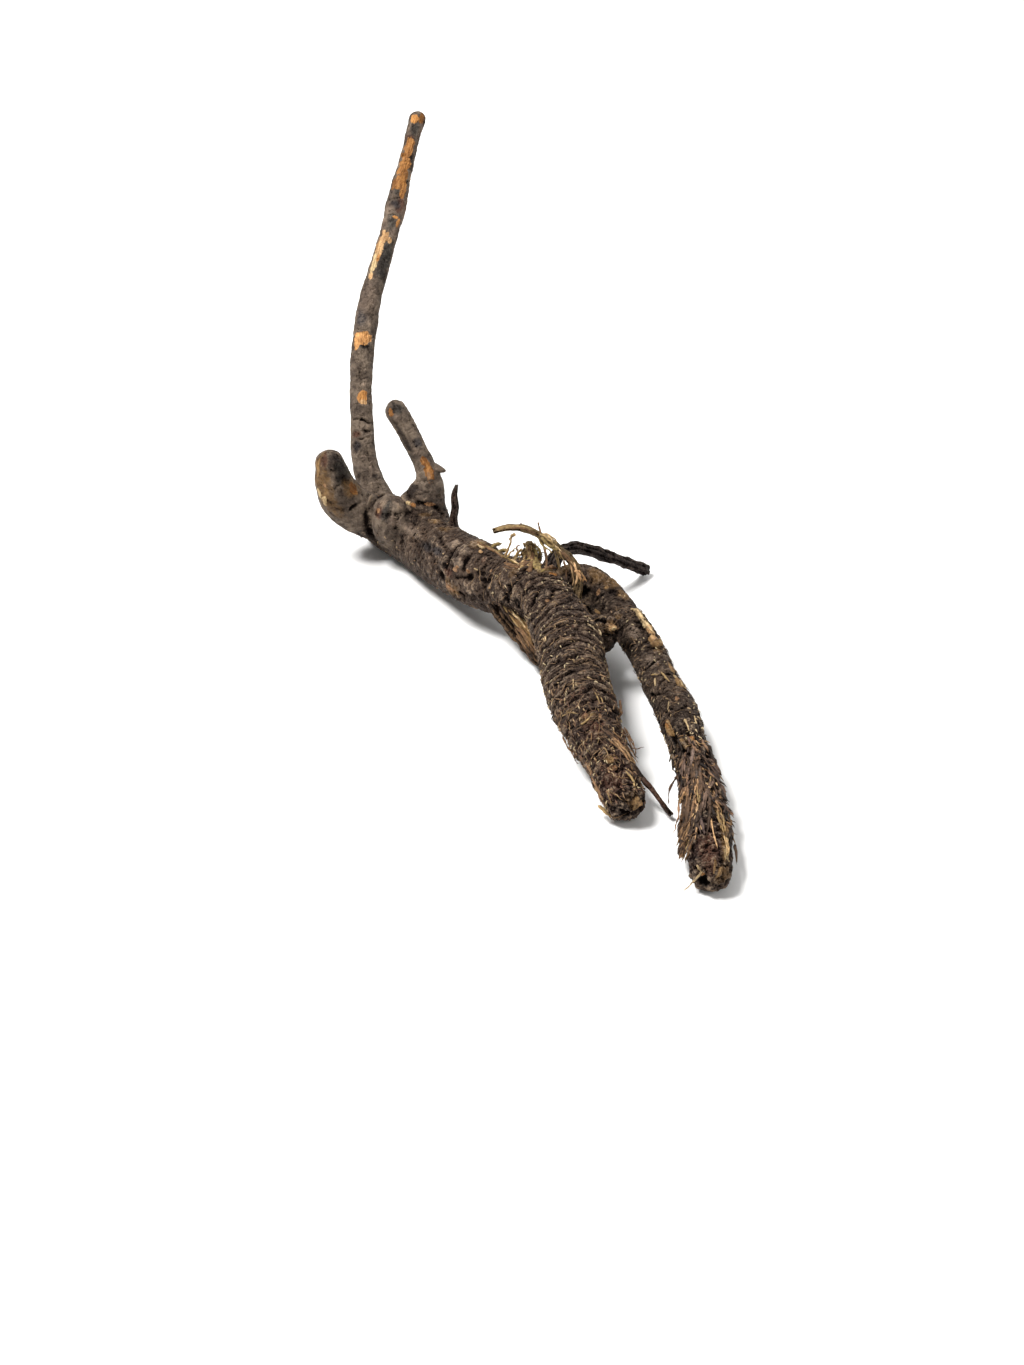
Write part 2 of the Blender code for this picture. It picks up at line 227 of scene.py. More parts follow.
LEFT_STUB = Limb(
    "left_stub",
    (
        (-36.0, 76.0, 10.5, 13.8), (-42.0, 74.5, 12.8, 13.6), (-46.8, 73.0, 16.5, 13.2), (-50.4, 71.8, 21.5, 12.4),
        (-51.8, 71.0, 26.5, 11.6), (-52.5, 70.7, 31.5, 9.6), (-53.3, 70.4, 37.0, 7.3),
    ),
    coats=((4.0, Coat.WRINKLED), (10.0, Coat.SMOOTH)),
    domed=True,
    lumpy=0.7,
)
RIGHT_STUB = Limb(
    "right_stub",
    (
        (-25.0, 68.0, 11.5, 15.9), (-25.9, 71.2, 17.5, 14.1), (-25.2, 71.8, 22.0, 11.5), (-24.4, 72.4, 25.5, 8.7),
        (-24.8, 73.1, 28.5, 6.9), (-26.5, 75.3, 32.0, 6.1), (-29.0, 76.9, 37.0, 6.2), (-31.4, 78.8, 41.5, 6.0),
        (-33.3, 79.4, 45.2, 6.2), (-34.6, 79.4, 47.9, 6.3),
    ),
    coats=((8.0, Coat.SCALY), (15.0, Coat.SMOOTH)),
    domed=True,
    lumpy=0.4,
)
TORN_ROOT = Limb(
    "torn_root",
    (
        (-3.3, 28.0, 14.0, 8.0), (-1.2, 26.0, 11.3, 7.6), (1.4, 23.4, 8.8, 7.0), (4.3, 19.2, 7.0, 6.2),
        (6.8, 14.8, 5.8, 5.2), (9.2, 9.2, 4.8, 4.0),
    ),
    coats=((0.0, Coat.GRAINED),),
    domed=True,
    lumpy=0.5,
)
STUMP = Limb(
    "stump",
    (
        (15.5, 12.0, 14.0, 10.0), (21.6, 7.9, 17.0, 8.0), (24.9, 6.1, 18.4, 6.4), (28.9, 4.2, 19.4, 5.4),
    ),
    coats=((0.0, Coat.RINGED),),
    lumpy=0.3,
)
FORK_WEB = Limb(
    "fork_web",
    ((12.0, 24.0, 10.0, 9.0), (19.5, 22.5, 11.3, 9.6), (23.5, 16.4, 10.3, 8.0), (26.0, 10.5, 8.5, 5.5)),
    coats=((0.0, Coat.WRINKLED),),
    domed=True,
    lumpy=0.6,
)
CROWN_KNOB = Limb(
    "crown_knob",
    ((-34.0, 70.0, 9.0, 12.0), (-35.0, 68.0, 14.5, 12.4), (-35.2, 67.6, 22.0, 9.6)),
    coats=((0.0, Coat.SMOOTH),),
    domed=True,
    lumpy=0.8,
)
SPUR = Limb(
    "spur",
    ((-24.6, 74.0, 28.0, 4.4), (-22.2, 72.8, 29.8, 3.2), (-19.2, 70.6, 30.1, 1.2)),
    coats=((0.0, Coat.SMOOTH),),
    lumpy=0.0,
)
ROOTLET = Limb(
    "rootlet",
    (
        (-16.2, 57.5, 15.5, 3.6), (-16.8, 59.8, 20.5, 2.1), (-16.3, 60.9, 23.5, 1.9), (-16.5, 61.6, 27.0, 1.5),
        (-15.8, 62.4, 30.2, 0.9),
    ),
    coats=((0.0, Coat.GRAINED),),
    lumpy=0.0,
)
TIP_ROOTLET = Limb(
    "tip_rootlet",
    (
        (25.0, -38.5, 8.0, 2.4), (29.3, -42.0, 9.4, 1.6), (31.6, -45.0, 8.2, 1.3), (34.6, -47.9, 6.0, 1.1),
        (39.0, -52.0, 1.7, 1.1),
    ),
    coats=((0.0, Coat.GRAINED),),
    lumpy=0.0,
)
TAN_STRAND = Limb(
    "tan_strand",
    (
        (17.4, 19.0, 19.5, 2.4), (18.0, 21.6, 24.4, 2.2), (16.9, 23.4, 27.0, 2.0), (14.8, 25.3, 29.0, 2.0),
        (12.2, 27.5, 30.4, 2.1), (9.6, 29.2, 31.5, 2.2), (6.2, 31.2, 32.9, 1.8), (3.3, 32.5, 33.4, 1.8),
        (-1.0, 33.3, 33.2, 1.7), (-5.2, 33.5, 31.9, 1.5),
    ),
    coats=((0.0, Coat.GRAINED),),
    lumpy=0.0,
)
BACK_ROOTLET = Limb(
    "back_rootlet",
    (
        (7.0, 30.0, 14.5, 6.0), (10.0, 36.5, 16.8, 4.6), (12.8, 42.4, 19.0, 3.6), (17.9, 47.6, 18.1, 3.3),
        (22.9, 50.8, 15.2, 3.2), (28.6, 54.0, 11.1, 3.2), (34.4, 58.0, 6.3, 3.1), (39.4, 62.2, 1.7, 3.3),
    ),
    coats=((0.0, Coat.GRAINED),),
    lumpy=0.2,
)


@dataclass(frozen=True)
class Viewpoint:
    """Where the photograph was taken from: 35 degrees down on the root, with a portrait frame."""

    place: tuple[float, float, float] = (1.7, -449.8, 294.7)
    pitch: float = math.radians(55)
    lens: float = 50.0
    film: float = 36.0
    width: int = 1024
    height: int = 1365

    def origin(self) -> np.ndarray:
        """The camera's place in station millimetres."""
        return np.array(self.place) + FOOTPRINT_CENTRE

    def towards(self) -> np.ndarray:
        """The direction from the root to the camera."""
        return np.array((0.0, -math.sin(self.pitch), math.cos(self.pitch)))

    def focal(self) -> float:
        """The lens's focal length in pixels of the photograph."""
        return self.lens / self.film * self.height

    def pixel_at(self, place: np.ndarray) -> float:
        """How many millimetres one pixel shows at a place, in station millimetres."""
        return float((self.origin() - place) @ self.towards()) / self.focal()

    def ray(self, u: float, v: float) -> tuple[Vector, Vector]:
        """The line of sight through a pixel.

        Args:
            u: Pixels from the photograph's left edge.
            v: Pixels from its top edge.

        Returns:
            Where it starts, in station millimetres, and its direction.
        """
        right, rise = (u - self.width / 2) / self.focal(), (self.height / 2 - v) / self.focal()
        up = np.array((0.0, math.cos(self.pitch), math.sin(self.pitch)))
        direction = -self.towards() + np.array((right, 0.0, 0.0)) + rise * up
        return Vector(self.origin()), Vector(direction).normalized()


VIEW = Viewpoint()


class Line:
    """A limb's centre line as close samples, each with its distance, radius, direction and side that faces front."""

    def __init__(self, limb: Limb) -> None:
        """Draws a smooth line through the limb's stations and samples it at equal steps.

        Args:
            limb: The limb.
        """
        rows = np.array(limb.stations)
        rows = np.vstack((2 * rows[0] - rows[1], rows, 2 * rows[-1] - rows[-2]))
        t = np.linspace(0, 1, SPAN_SAMPLES, endpoint=False)[:, None]
        spans = [
            0.5
            * (
                2 * here
                + (there - before) * t
                + (2 * before - 5 * here + 4 * there - after) * t**2
                + (3 * here - before - 3 * there + after) * t**3
            )
            for before, here, there, after in zip(rows, rows[1:], rows[2:], rows[3:])
        ]
        dense = np.vstack((*spans, rows[-2]))
        run = np.concatenate(((0.0,), np.linalg.norm(np.diff(dense[:, :3], axis=0), axis=1).cumsum()))
        self.length = float(run[-1])
        self.along = np.linspace(0, self.length, max(LEAST_SAMPLES, round(self.length / SAMPLE_STEP)))
        sampled = np.stack([np.interp(self.along, run, dense[:, k]) for k in range(4)], axis=1)
        self.places, self.radii = sampled[:, :3], sampled[:, 3] / 2
        steps = np.gradient(self.places, axis=0)
        self.onward = steps / np.linalg.norm(steps, axis=1, keepdims=True)
        front = VIEW.towards() - (self.onward @ VIEW.towards())[:, None] * self.onward
        self.front = front / np.linalg.norm(front, axis=1, keepdims=True)
        self.side = np.cross(self.front, self.onward)

    def at(self, distance: np.ndarray) -> np.ndarray:
        """The numbers of the samples nearest to these distances."""
        share = np.asarray(distance) / self.length * (len(self.along) - 1)
        return np.clip(np.round(share), 0, len(self.along) - 1).astype(int)

    def outward(self, index: np.ndarray, angle: np.ndarray) -> np.ndarray:
        """Directions away from the line at these samples and angles."""
        return np.cos(angle)[:, None] * self.front[index] + np.sin(angle)[:, None] * self.side[index]


@dataclass
class Whereabouts:
    """Where the vertices of a body are, seen from one limb: one value or row for each vertex."""

    along: np.ndarray
    angle: np.ndarray
    radius: np.ndarray
    miss: np.ndarray

    def unrolled(self) -> np.ndarray:
        """Places on the limb made straight: two across it and the distance along it, in millimetres."""
        return np.stack((self.radius * np.cos(self.angle), self.radius * np.sin(self.angle), self.along), axis=1)

    def part(self, chosen: np.ndarray) -> "Whereabouts":
        """The same for some of the vertices."""
        return Whereabouts(self.along[chosen], self.angle[chosen], self.radius[chosen], self.miss[chosen])


def locate(line: Line, points: np.ndarray) -> Whereabouts:
    """Finds the limb's own coordinates of points near it.

    Args:
        line: The limb's centre line.
        points: Places in station millimetres.

    Returns:
        Distance along, angle around, the limb's radius there, and how far each point misses its surface.
    """
    nearest = np.empty(len(points), dtype=int)
    squares = (line.places**2).sum(axis=1)
    for first in range(0, len(points), BLOCK):
        block = points[first : first + BLOCK]
        nearest[first : first + BLOCK] = (squares - 2 * block @ line.places.T).argmin(axis=1)
    apart = points - line.places[nearest]
    ahead = (apart * line.onward[nearest]).sum(axis=1)
    across = apart - ahead[:, None] * line.onward[nearest]
    angle = np.arctan2((across * line.side[nearest]).sum(axis=1), (across * line.front[nearest]).sum(axis=1))
    radius = line.radii[nearest]
    miss = np.abs(np.linalg.norm(apart, axis=1) - radius)
    return Whereabouts(np.clip(line.along[nearest] + ahead, 0, line.length), angle, radius, miss)


@dataclass(frozen=True)
class CoatLook:
    """What the material needs to know of a coat: its own tint, its scales and how loose it is.

    around and along are the sizes of one scale around and along the limb, in millimetres. loose is 1 where the
    surface is all grit and crumbs, and the less, the sounder and more even the bark.
    """

    tint: str
    around: float
    along: float
    loose: float


COAT_LOOKS = {
    Coat.SCALY: CoatLook("#564538", 1.1, 0.6, 0.66),
    Coat.RINGED: CoatLook("#544236", 2.0, 0.45, 1.0),
    Coat.SMOOTH: CoatLook("#7a6a5a", 1.1, 1.4, 0.42),
    Coat.WRINKLED: CoatLook("#544437", 1.6, 0.6, 0.75),
    Coat.FIBROUS: CoatLook("#3a2b22", 0.6, 3.0, 1.0),
    Coat.GRAINED: CoatLook("#5f4b3a", 0.6, 3.5, 0.9),
    Coat.CRUMBLY: CoatLook("#432f27", 1.0, 0.7, 0.85),
    Coat.BROKEN: CoatLook("#4a382c", 0.9, 0.9, 1.0),
}


def folds(flat: np.ndarray, apart: float, seed: int, sharp: float = 0.8) -> np.ndarray:
    """Folds that run around a limb like stacked collars, wavy and here and there grown together.

    Args:
        flat: Places on the limb made straight.
        apart: How far apart the folds are along the limb, in millimetres.
        seed: Which of many such patterns.
        sharp: How narrow the furrows are; the less, the narrower.

    Returns:
        Heights from about -1 in a furrow to 0.4 on a fold.
    """
    wander = 1.1 * swell(flat / (11, 11, 9), seed) + 0.25 * swell(flat / (4, 4, 3), seed + 1)
    crest = np.abs(np.sin(math.pi * (flat[:, 2] / apart + wander))) ** sharp - 0.65
    whole = np.clip(0.7 + 1.2 * swell(flat / (7, 7, 4), seed + 2), 0.1, 1.3)
    return crest * whole


def relief(coat: Coat, spot: Whereabouts, points: np.ndarray) -> np.ndarray:
    """The height of the bark over the limb's plain surface, which its crests reach.

    Args:
        coat: How the surface has grown.
        spot: Where the vertices are on the limb.
        points: Where they are in station millimetres.

    Returns:
        Heights in millimetres, below nought in furrows.
    """
    flat = spot.unrolled()
    warp = swell(points / 5, 5)
    grit = crumble(points / 1.0, 8, 3)
    if coat is Coat.RINGED:
        height = 0.80 * folds(flat, 3.3, 1, 0.7) + 0.34 * folds(flat, 1.15, 61, 0.8)
        return height + 0.26 * swell(points / 5.0, 7) + 0.20 * grit - 0.45
    if coat is Coat.CRUMBLY:
        height = 0.35 * folds(flat, 2.7, 1) + 0.15 * folds(flat, 1.0, 61, 0.8) + 0.50 * crumble(points / 2.2, 55, 2)
        return height + 0.30 * swell(points / 4.5, 7) + 0.28 * grit - 0.35
    if coat is Coat.BROKEN:
        return 0.40 * swell(points / 2.2, 57) + 0.40 * crumble(points / 1.0, 58, 3) - 0.20
    if coat is Coat.SMOOTH:
        height = 0.12 * swell(flat / (2.4, 2.4, 8), 11) + 0.22 * swell(points / 3.6, 12)
        height -= 0.10 * groove(swell(flat / (9, 9, 4.2), 13) + 0.1 * warp, 0.04)
        height -= 0.08 * groove(swell(flat / (1.7, 1.7, 5), 14), 0.08)
        return height + 0.09 * grit
    if coat is Coat.WRINKLED:
        height = 0.24 * folds(flat, 3.8, 71, 1.0) + 0.30 * swell(points / 6.0, 73) + 0.14 * folds(flat, 1.2, 77, 0.8)
        height -= 0.20 * groove(swell(flat / (5, 5, 3.4), 75) + 0.15 * warp, 0.04)
        return height + 0.20 * grit - 0.15
    if coat is Coat.FIBROUS:
        height = 0.9 * (0.35 - np.abs(swell(flat / (1.7, 1.7, 11), 21))) + 0.40 * swell(flat / (0.9, 0.9, 7), 22)
        return height + 0.60 * swell(points / 4.0, 23) + 0.24 * grit - 0.80
    if coat is Coat.GRAINED:
        height = 0.60 * (0.35 - np.abs(swell(flat / (1.0, 1.0, 9), 31))) + 0.30 * swell(flat / (0.55, 0.55, 6), 32)
        return height + 0.16 * swell(points / 1.6, 33)
    broken = ease(swell(points / 9, 48), 0.10, 0.60)
    height = 0.15 * folds(flat, 3.8, 41, 1.2) + 0.28 * swell(points / 7.0, 42) + 0.16 * folds(flat, 1.2, 49, 1.0)
    height += 0.10 * swell(points / 2.0, 47) + broken * 0.12 * swell(points / 1.8, 44)
    height -= broken * 0.12 * groove(swell(flat / (4.5, 4.5, 2.6), 43) + 0.25 * warp, 0.05)
    return height + (0.20 + 0.10 * broken) * grit - 0.15


class Patch(Enum):
    """What shows where the bark is bruised, stained or gone, as its sRGB colour."""

    ORANGE_WOOD = "#c88d50"
    PEACH_WOOD = "#d79e64"
    OCHRE_WOOD = "#ab7743"
    PALE_WOOD = "#d2a878"
    BROWN_WOOD = "#85592f"
    CREAM_SKIN = "#cfb588"
    TAN_EARTH = "#96764e"
    DULL_WOOD = "#a07a58"
    # Charcoal-black bark, also painted as shade into the left stub's hollow and the cavities at the root tips.
    CHARCOAL = "#4d4841"
    # Near-black bark, also painted as shade into hollows, pits, gaps, the fork's notch and down shaded sides.
    DARK_BARK = "#2d231c"
    GREY_BARK = "#8b7867"
    RED_BARK = "#674636"
    BLUE_GREY_BARK = "#4e4846"
    TAN_BARK = "#8a6a43"

    def soaks_in(self) -> bool:
        """Whether it stains the bark softly, where the others show with a crisp edge."""
        # Stains and painted shade both soak in softly.
        return self is Patch.CHARCOAL or self.name.endswith("_BARK")


@dataclass(frozen=True)
class Mark:
    """A patch on the bark, placed by the pixel of the photograph that shows its middle.

    width and length are its sizes around and along the limb, in the photograph's pixels. depth is how far it is
    sunk, in millimetres, or raised if it is below nought. lean turns it from the limb's own direction, in degrees.
    Without a patch it only sinks or raises the bark, with a soft edge.
    """

    patch: Patch | None
    u: float
    v: float
    width: float
    length: float
    depth: float = 0.0
    lean: float = 0.0


# The patches by their own names, for the tables below.
(
    ORANGE_WOOD, PEACH_WOOD, OCHRE_WOOD, PALE_WOOD, BROWN_WOOD, CREAM_SKIN, TAN_EARTH, DULL_WOOD, CHARCOAL,
    DARK_BARK, GREY_BARK, RED_BARK, BLUE_GREY_BARK, TAN_BARK,
) = Patch


@dataclass(frozen=True)
class Worn:
    """A patch on a limb's bark: its middle along and around the limb, half its sizes in millimetres, its depth.

    The angle is in radians from the side that faces the camera, and lean in degrees as for a mark.
    """

    patch: Patch | None
    limb: str
    along: float
    angle: float
    half_width: float
    half_length: float
    depth: float
    lean: float


@dataclass(frozen=True)
class Strewn:
    """Patches like those that the photograph shows, strewn over the far side of a limb.

    span is from where to where along the limb, and size about the width of one patch, in millimetres.
    """

    patches: tuple[Patch, ...]
    limb: str
    count: int
    span: tuple[float, float]
    size: float
    seed: int


@dataclass(frozen=True)
class Crease:
    """A sunk crease along pixels of the photograph, darkened by painted shade. width and depth are in millimetres."""

    pixels: Pixels
    width: float
    depth: float


@dataclass(frozen=True)
class Hollow:
    """A hollow with the shape of an egg: its middle and half sizes in millimetres, and its lean from upright."""

    middle: tuple[float, float, float]
    half_sizes: tuple[float, float, float]
    lean: float


def only(obj: bpy.types.Object) -> None:
    """Makes an object the one that is selected and active."""
    bpy.ops.object.select_all(action="DESELECT")
    obj.select_set(True)
    bpy.context.view_layer.objects.active = obj


def limb_tube(limb: Limb, line: Line, first: float, last: float | None) -> bpy.types.Object:
    """Draws a limb, or a stretch of it, as a path with a round, closed thickness and the limb's domed tip.

    Args:
        limb: The limb.
        line: Its centre line.
        first: Where the stretch starts, in millimetres along it.
        last: Where it ends, or None for the limb's own tip.

    Returns:
        The tube as a mesh object.
    """
    radii = line.radii.copy()
    if limb.domed:
        dome = DOME_LENGTH * 2 * radii[-1]
        into = np.clip((line.along - line.length + dome) / dome, 0, DOME_END)
        radii *= np.sqrt(1 - into**2)
    keep = (line.along >= first) & (line.along <= (line.length if last is None else last))
    bpy.ops.object.select_all(action="DESELECT")
    bpy.ops.curve.primitive_nurbs_path_add()
    guide = bpy.context.object
    guide.name = limb.name
    guide.data.splines.clear()
    guide.data.twist_mode = "MINIMUM"
    guide.data.bevel_depth = 1.0
    guide.data.bevel_resolution = TUBE_SIDES // 2 - 2
    guide.data.use_fill_caps = True
    spline = guide.data.splines.new("POLY")
    spline.points.add(int(keep.sum()) - 1)
    spline.points.foreach_set("co", np.column_stack((line.places, np.ones(len(keep))))[keep].ravel())
    spline.points.foreach_set("radius", radii[keep])
    bpy.ops.object.convert(target="MESH")
    return bpy.context.object


def apply_modifier(obj: bpy.types.Object, kind: str, **settings: object) -> None:
    """Adds a modifier with its settings, and applies it.

    Args:
        obj: The object.
        kind: Blender's name for the kind of modifier.
        settings: Its settings.
    """
    only(obj)
    modifier = obj.modifiers.new(kind.lower(), kind)
    for key, value in settings.items():
        setattr(modifier, key, value)
    bpy.ops.object.modifier_apply(modifier=modifier.name)


def read_mesh(obj: bpy.types.Object) -> tuple[np.ndarray, np.ndarray]:
    """The places of a mesh's vertices and the outward directions there, one row each."""
    places, outward = np.empty((2, len(obj.data.vertices), 3))
    obj.data.vertices.foreach_get("co", places.ravel())
    obj.data.vertex_normals.foreach_get("vector", outward.ravel())
    return places, outward


def move_vertices(obj: bpy.types.Object, places: np.ndarray) -> None:
    """Puts a mesh's vertices at new places."""
    obj.data.vertices.foreach_set("co", places.ravel())
    obj.data.update()


def store(obj: bpy.types.Object, name: str, values: np.ndarray) -> None:
    """Keeps one value, vector or colour for each vertex, for the materials to read.

    Args:
        obj: The object.
        name: The attribute's name.
        values: One number, three or four for each vertex.
    """
    kinds = {1: ("FLOAT", "value"), 3: ("FLOAT_VECTOR", "vector"), 4: ("FLOAT_COLOR", "color")}
    kind, field_name = kinds[values.size // len(values)]
    attribute = obj.data.attributes.new(name, kind, "POINT")
    attribute.data.foreach_set(field_name, values.astype(np.float32).ravel())


def average_around(obj: bpy.types.Object, values: np.ndarray, rounds: int) -> np.ndarray:
    """Spreads values over the mesh: each round, a vertex takes the average of its neighbours and itself.

    Args:
        obj: The mesh object.
        values: One value for each vertex.
        rounds: How often.

    Returns:
        The spread values.
    """
    ends = np.empty(len(obj.data.edges) * 2, dtype=np.int64)
    obj.data.edges.foreach_get("vertices", ends)
    one, other = ends[::2], ends[1::2]
    count = len(values)
    degree = np.bincount(one, minlength=count) + np.bincount(other, minlength=count) + 1
    for _ in range(rounds):
        near = np.bincount(one, values[other], count) + np.bincount(other, values[one], count)
        values = (values + near) / degree
    return values


def into_frame(obj: bpy.types.Object) -> bpy.types.Object:
    """Moves a finished piece's mesh from station millimetres into the frame's metres, and rides it on the root."""
    obj.data.transform(Matrix.Scale(MM, 4) @ Matrix.Translation(Vector(-FOOTPRINT_CENTRE)))
    only(obj)
    bpy.ops.object.shade_smooth()
    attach(obj, "root")
    log.info("%s: %d vertices, %d faces", obj.name, len(obj.data.vertices), len(obj.data.polygons))
    return obj


def add_node(
    tree: bpy.types.NodeTree,
    kind: str,
    inputs: dict[str | int, object] | None = None,
    output: str | int = 0,
    **settings: object,
) -> bpy.types.NodeSocket:
    """Adds a node with its settings, and sets or links its sockets.

    Args:
        tree: The material's nodes.
        kind: Blender's name for the kind of node.
        inputs: For each socket, by name or number, a value or the output that feeds it.
        output: Which of the node's outputs is wanted.
        settings: The node's own settings.

    Returns:
        That output.
    """
    node = tree.nodes.new(kind)
    for key, value in settings.items():
        setattr(node, key, value)
    for key, value in (inputs or {}).items():
        if isinstance(value, bpy.types.NodeSocket):
            tree.links.new(value, node.inputs[key])
        else:
            node.inputs[key].default_value = value
    return node.outputs[output]


@dataclass(frozen=True)
class BarkFinish:
    """Dry root bark: dull grey-brown cork over a near-black under-layer.

    It scatters light and hardly shines. Crests are rubbed pale, dusted and given a painted highlight. Furrows
    are painted near-black: painted shade over the near-black under-layer. Where it is bruised off, the wood below
    shows with its long grain, and its deep cracks get near-black painted shade.
    """

    name: str = "dry_root_bark"
    # The pale colour of the crests: dusting with a painted highlight.
    dust_and_highlight_colour: str = "#a18970"
    # The near-black painted into the furrows and the wood's deep cracks: painted shade over the dark under-layer.
    furrow_shade: str = "#0d0908"
    roughness: float = 0.72
    # How strongly the crests are dusted pale and given a painted highlight.
    dust_and_highlight: float = 0.75

    def material(self) -> bpy.types.Material:
        """Builds the material.

        Returns:
            It, with every pattern in millimetres on the object, or in scales on the limb made straight.
        """
        made = bpy.data.materials.new(self.name)
        made.use_nodes = True
        tree = made.node_tree
        shader = tree.nodes["Principled BSDF"]
        place = add_node(tree, "ShaderNodeTexCoord", output="Object")
        place = add_node(tree, "ShaderNodeMapping", {"Vector": place, "Scale": (1 / MM,) * 3})
        scales, limb, tint, paint, painted, height, loose = (
            add_node(tree, "ShaderNodeAttribute", output=output, attribute_name=name)
            for name, output in (
                ("scales", "Vector"), ("limb", "Vector"), ("tint", "Color"), ("paint", "Color"), ("paint", "Alpha"),
                ("height", "Fac"), ("loose", "Fac"),
            )
        )
        limb = add_node(tree, "ShaderNodeMapping", {"Vector": limb, "Scale": (2.4, 2.4, 0.25)})

        # Each pattern, by what it is laid on and how many cells it has to a unit there. The bark's grit is finer
        # than a pixel, so it is drawn about twice as coarse as it is.
        patterns = {
            name: add_node(
                tree,
                "ShaderNodeTexNoise",
                {"Vector": on, "Scale": cells, "Detail": detail, "Roughness": 0.62},
            )
            for name, on, cells, detail in (
                ("broad", place, 0.16, 3.0),
                ("mottle", place, 0.6, 5.0),
                ("specks", place, 1.3, 3.0),
                ("grit", place, 2.3, 2.0),
                ("fine", scales, 0.8, 4.0),
                ("grain", limb, 1.0, 4.0),
            )
        }

        # Crests and furrows: the modelled height, made finer with the patterns, and nought halfway between. The
        # patterns average a half each.
        shares = (("mottle", 1.2), ("fine", 2.2), ("specks", 2.2), ("grit", 3.0))
        finer = -sum(share for _, share in shares) / 2
        for name, share in shares:
            finer = add_node(tree, "ShaderNodeMath", {0: patterns[name], 1: share, 2: finer}, operation="MULTIPLY_ADD")
        finer = add_node(tree, "ShaderNodeMath", {0: finer, 1: loose}, operation="MULTIPLY")
        rise = add_node(tree, "ShaderNodeMath", {0: height, 1: 2.4, 2: finer}, operation="MULTIPLY_ADD")
        # A patch's ragged edge.
        edge = painted
        for name, share in (("mottle", 0.7), ("specks", 0.5)):
            edge = add_node(tree, "ShaderNodeMath", {0: patterns[name], 1: share, 2: edge}, operation="MULTIPLY_ADD")

        # How much of each layer shows: it rises smoothly from nought at the first value to the last at the second.
        shown = {
            name: add_node(
                tree,
                "ShaderNodeMapRange",
                {"Value": value, "From Min": low, "From Max": high, "To Min": 0.0, "To Max": most},
                interpolation_type="SMOOTHSTEP",
            )
            for name, value, low, high, most in (
                ("shade", patterns["broad"], 0.66, 0.34, 1.0),
                ("stain", patterns["mottle"], 0.62, 0.38, 1.0),
                # Pale dusting and painted highlight where the bark stands high.
                ("dust_and_highlight", rise, 0.15, 1.20, self.dust_and_highlight),
                # Near-black painted shade where the bark lies low.
                ("furrow_shade", rise, -0.05, -0.78, 0.97),
                ("streak", patterns["grain"], 0.60, 0.36, 1.0),
                # Near-black painted shade in the wood's deep cracks.
                ("crack_shade", rise, -0.6, -1.9, 0.85),
                ("patch", edge, 0.88, 1.30, 1.0),
                ("gloss", rise, -0.8, 0.6, 0.30),
            )
        }
        # The bark's layers over its tint: broad random tone, stains, pale dusting with a painted highlight on the
        # crests, and near-black painted shade in the furrows.
        bark = (
            ("MULTIPLY", "shade", "#b5b2b3"),
            ("MULTIPLY", "stain", "#cac8ca"),
            ("MIX", "dust_and_highlight", self.dust_and_highlight_colour),
            ("MIX", "furrow_shade", self.furrow_shade),
        )
        # The bared wood's layers: its long grain, and near-black painted shade in its deep cracks.
        wood = (("MULTIPLY", "streak", "#b9aea2"), ("MIX", "crack_shade", self.furrow_shade))
        sides = []
        for colour, layers in ((tint, bark), (paint, wood)):
            for kind, share, over in layers:
                inputs = {0: shown[share], 6: colour, 7: linear(over)}
                colour = add_node(tree, "ShaderNodeMix", inputs, 2, data_type="RGBA", blend_type=kind)
            sides.append(colour)
        colour = add_node(tree, "ShaderNodeMix", {0: shown["patch"], 6: sides[0], 7: sides[1]}, 2, data_type="RGBA")
        bump = add_node(tree, "ShaderNodeBump", {"Height": rise, "Distance": 0.5 * MM})
        tree.links.new(colour, shader.inputs["Base Color"])
        tree.links.new(bump, shader.inputs["Normal"])
        # The loose earth down in the furrows does not shine at all.
        tree.links.new(shown["gloss"], shader.inputs["Specular IOR Level"])
        shader.inputs["Roughness"].default_value = self.roughness
        return made


# How far the barks of two limbs blend where they meet, in millimetres.
LIMB_BLEND = 0.5

# The material reads how high the bark is over its average for this far around, in millimetres, between limits.
# A round of averaging spreads values by about this share of a face.
MEAN_REACH, ROUND_REACH = 2.0, 0.8
HEIGHT_RANGE = (-0.8, 0.6)

# A mark is widened where the bark turns away from the camera, but only as far as for these cosines.
LEAST_FACING, MOST_SLANT = 0.45, 0.9

# How much of the bark's colour a soft patch takes over, stains and painted shade alike, and the strength from
# which a vertex counts as painted.
SOFT_PATCH_SHARE, PAINTED = 0.9, 0.02

# From where to where a patch fades, in its half sizes: a dent or bump, a soft patch for stains and painted shade,
# and a crisp patch.
DENT_EDGE, SOFT_PATCH_EDGE, CRISP_EDGE = (1.3, 0.2), (1.55, 0.55), (1.25, 0.75)

# A strewn patch: its half width and half length for a size of 1, its depth in millimetres and its lean in degrees.
STREWN_RANGES = ((0.4, 1.0), (0.6, 2.4), (-0.1, 0.2), (-20, 20))

# The side that the photograph does not show, in degrees around a limb.
FAR_SIDE = (105, 255)

# Samples of a crease for each of its pixels, how far it wanders from them, and how far it acts, in millimetres.
CREASE_SAMPLES, CREASE_WANDER, CREASE_REACH = 12, 0.35, 4

# From the first to the second share of its length, a crease has a depth; beyond, it keeps what it has there.
CREASE_ENDS = (0.03, 0.97)

# A coat counts at a vertex from this amount.
LEAST_AMOUNT = 0.01

# Bared wood and shrunken bark have less pale dusting and painted highlight on their crests, and bared wood its own
# near-black painted shade in the furrows and cracks.
BARE_WOOD = BarkFinish(name="bare_root_wood", dust_and_highlight_colour="#8f6b43", furrow_shade="#120b07", dust_and_highlight=0.42)
SHRUNKEN_BARK = BarkFinish(name="shrunken_root_bark", dust_and_highlight_colour="#6a5648", dust_and_highlight=0.5)

# Limbs, each with the distances along it where a body starts and ends, None for the tip.
Stretches = tuple[tuple[Limb, float, float | None], ...]


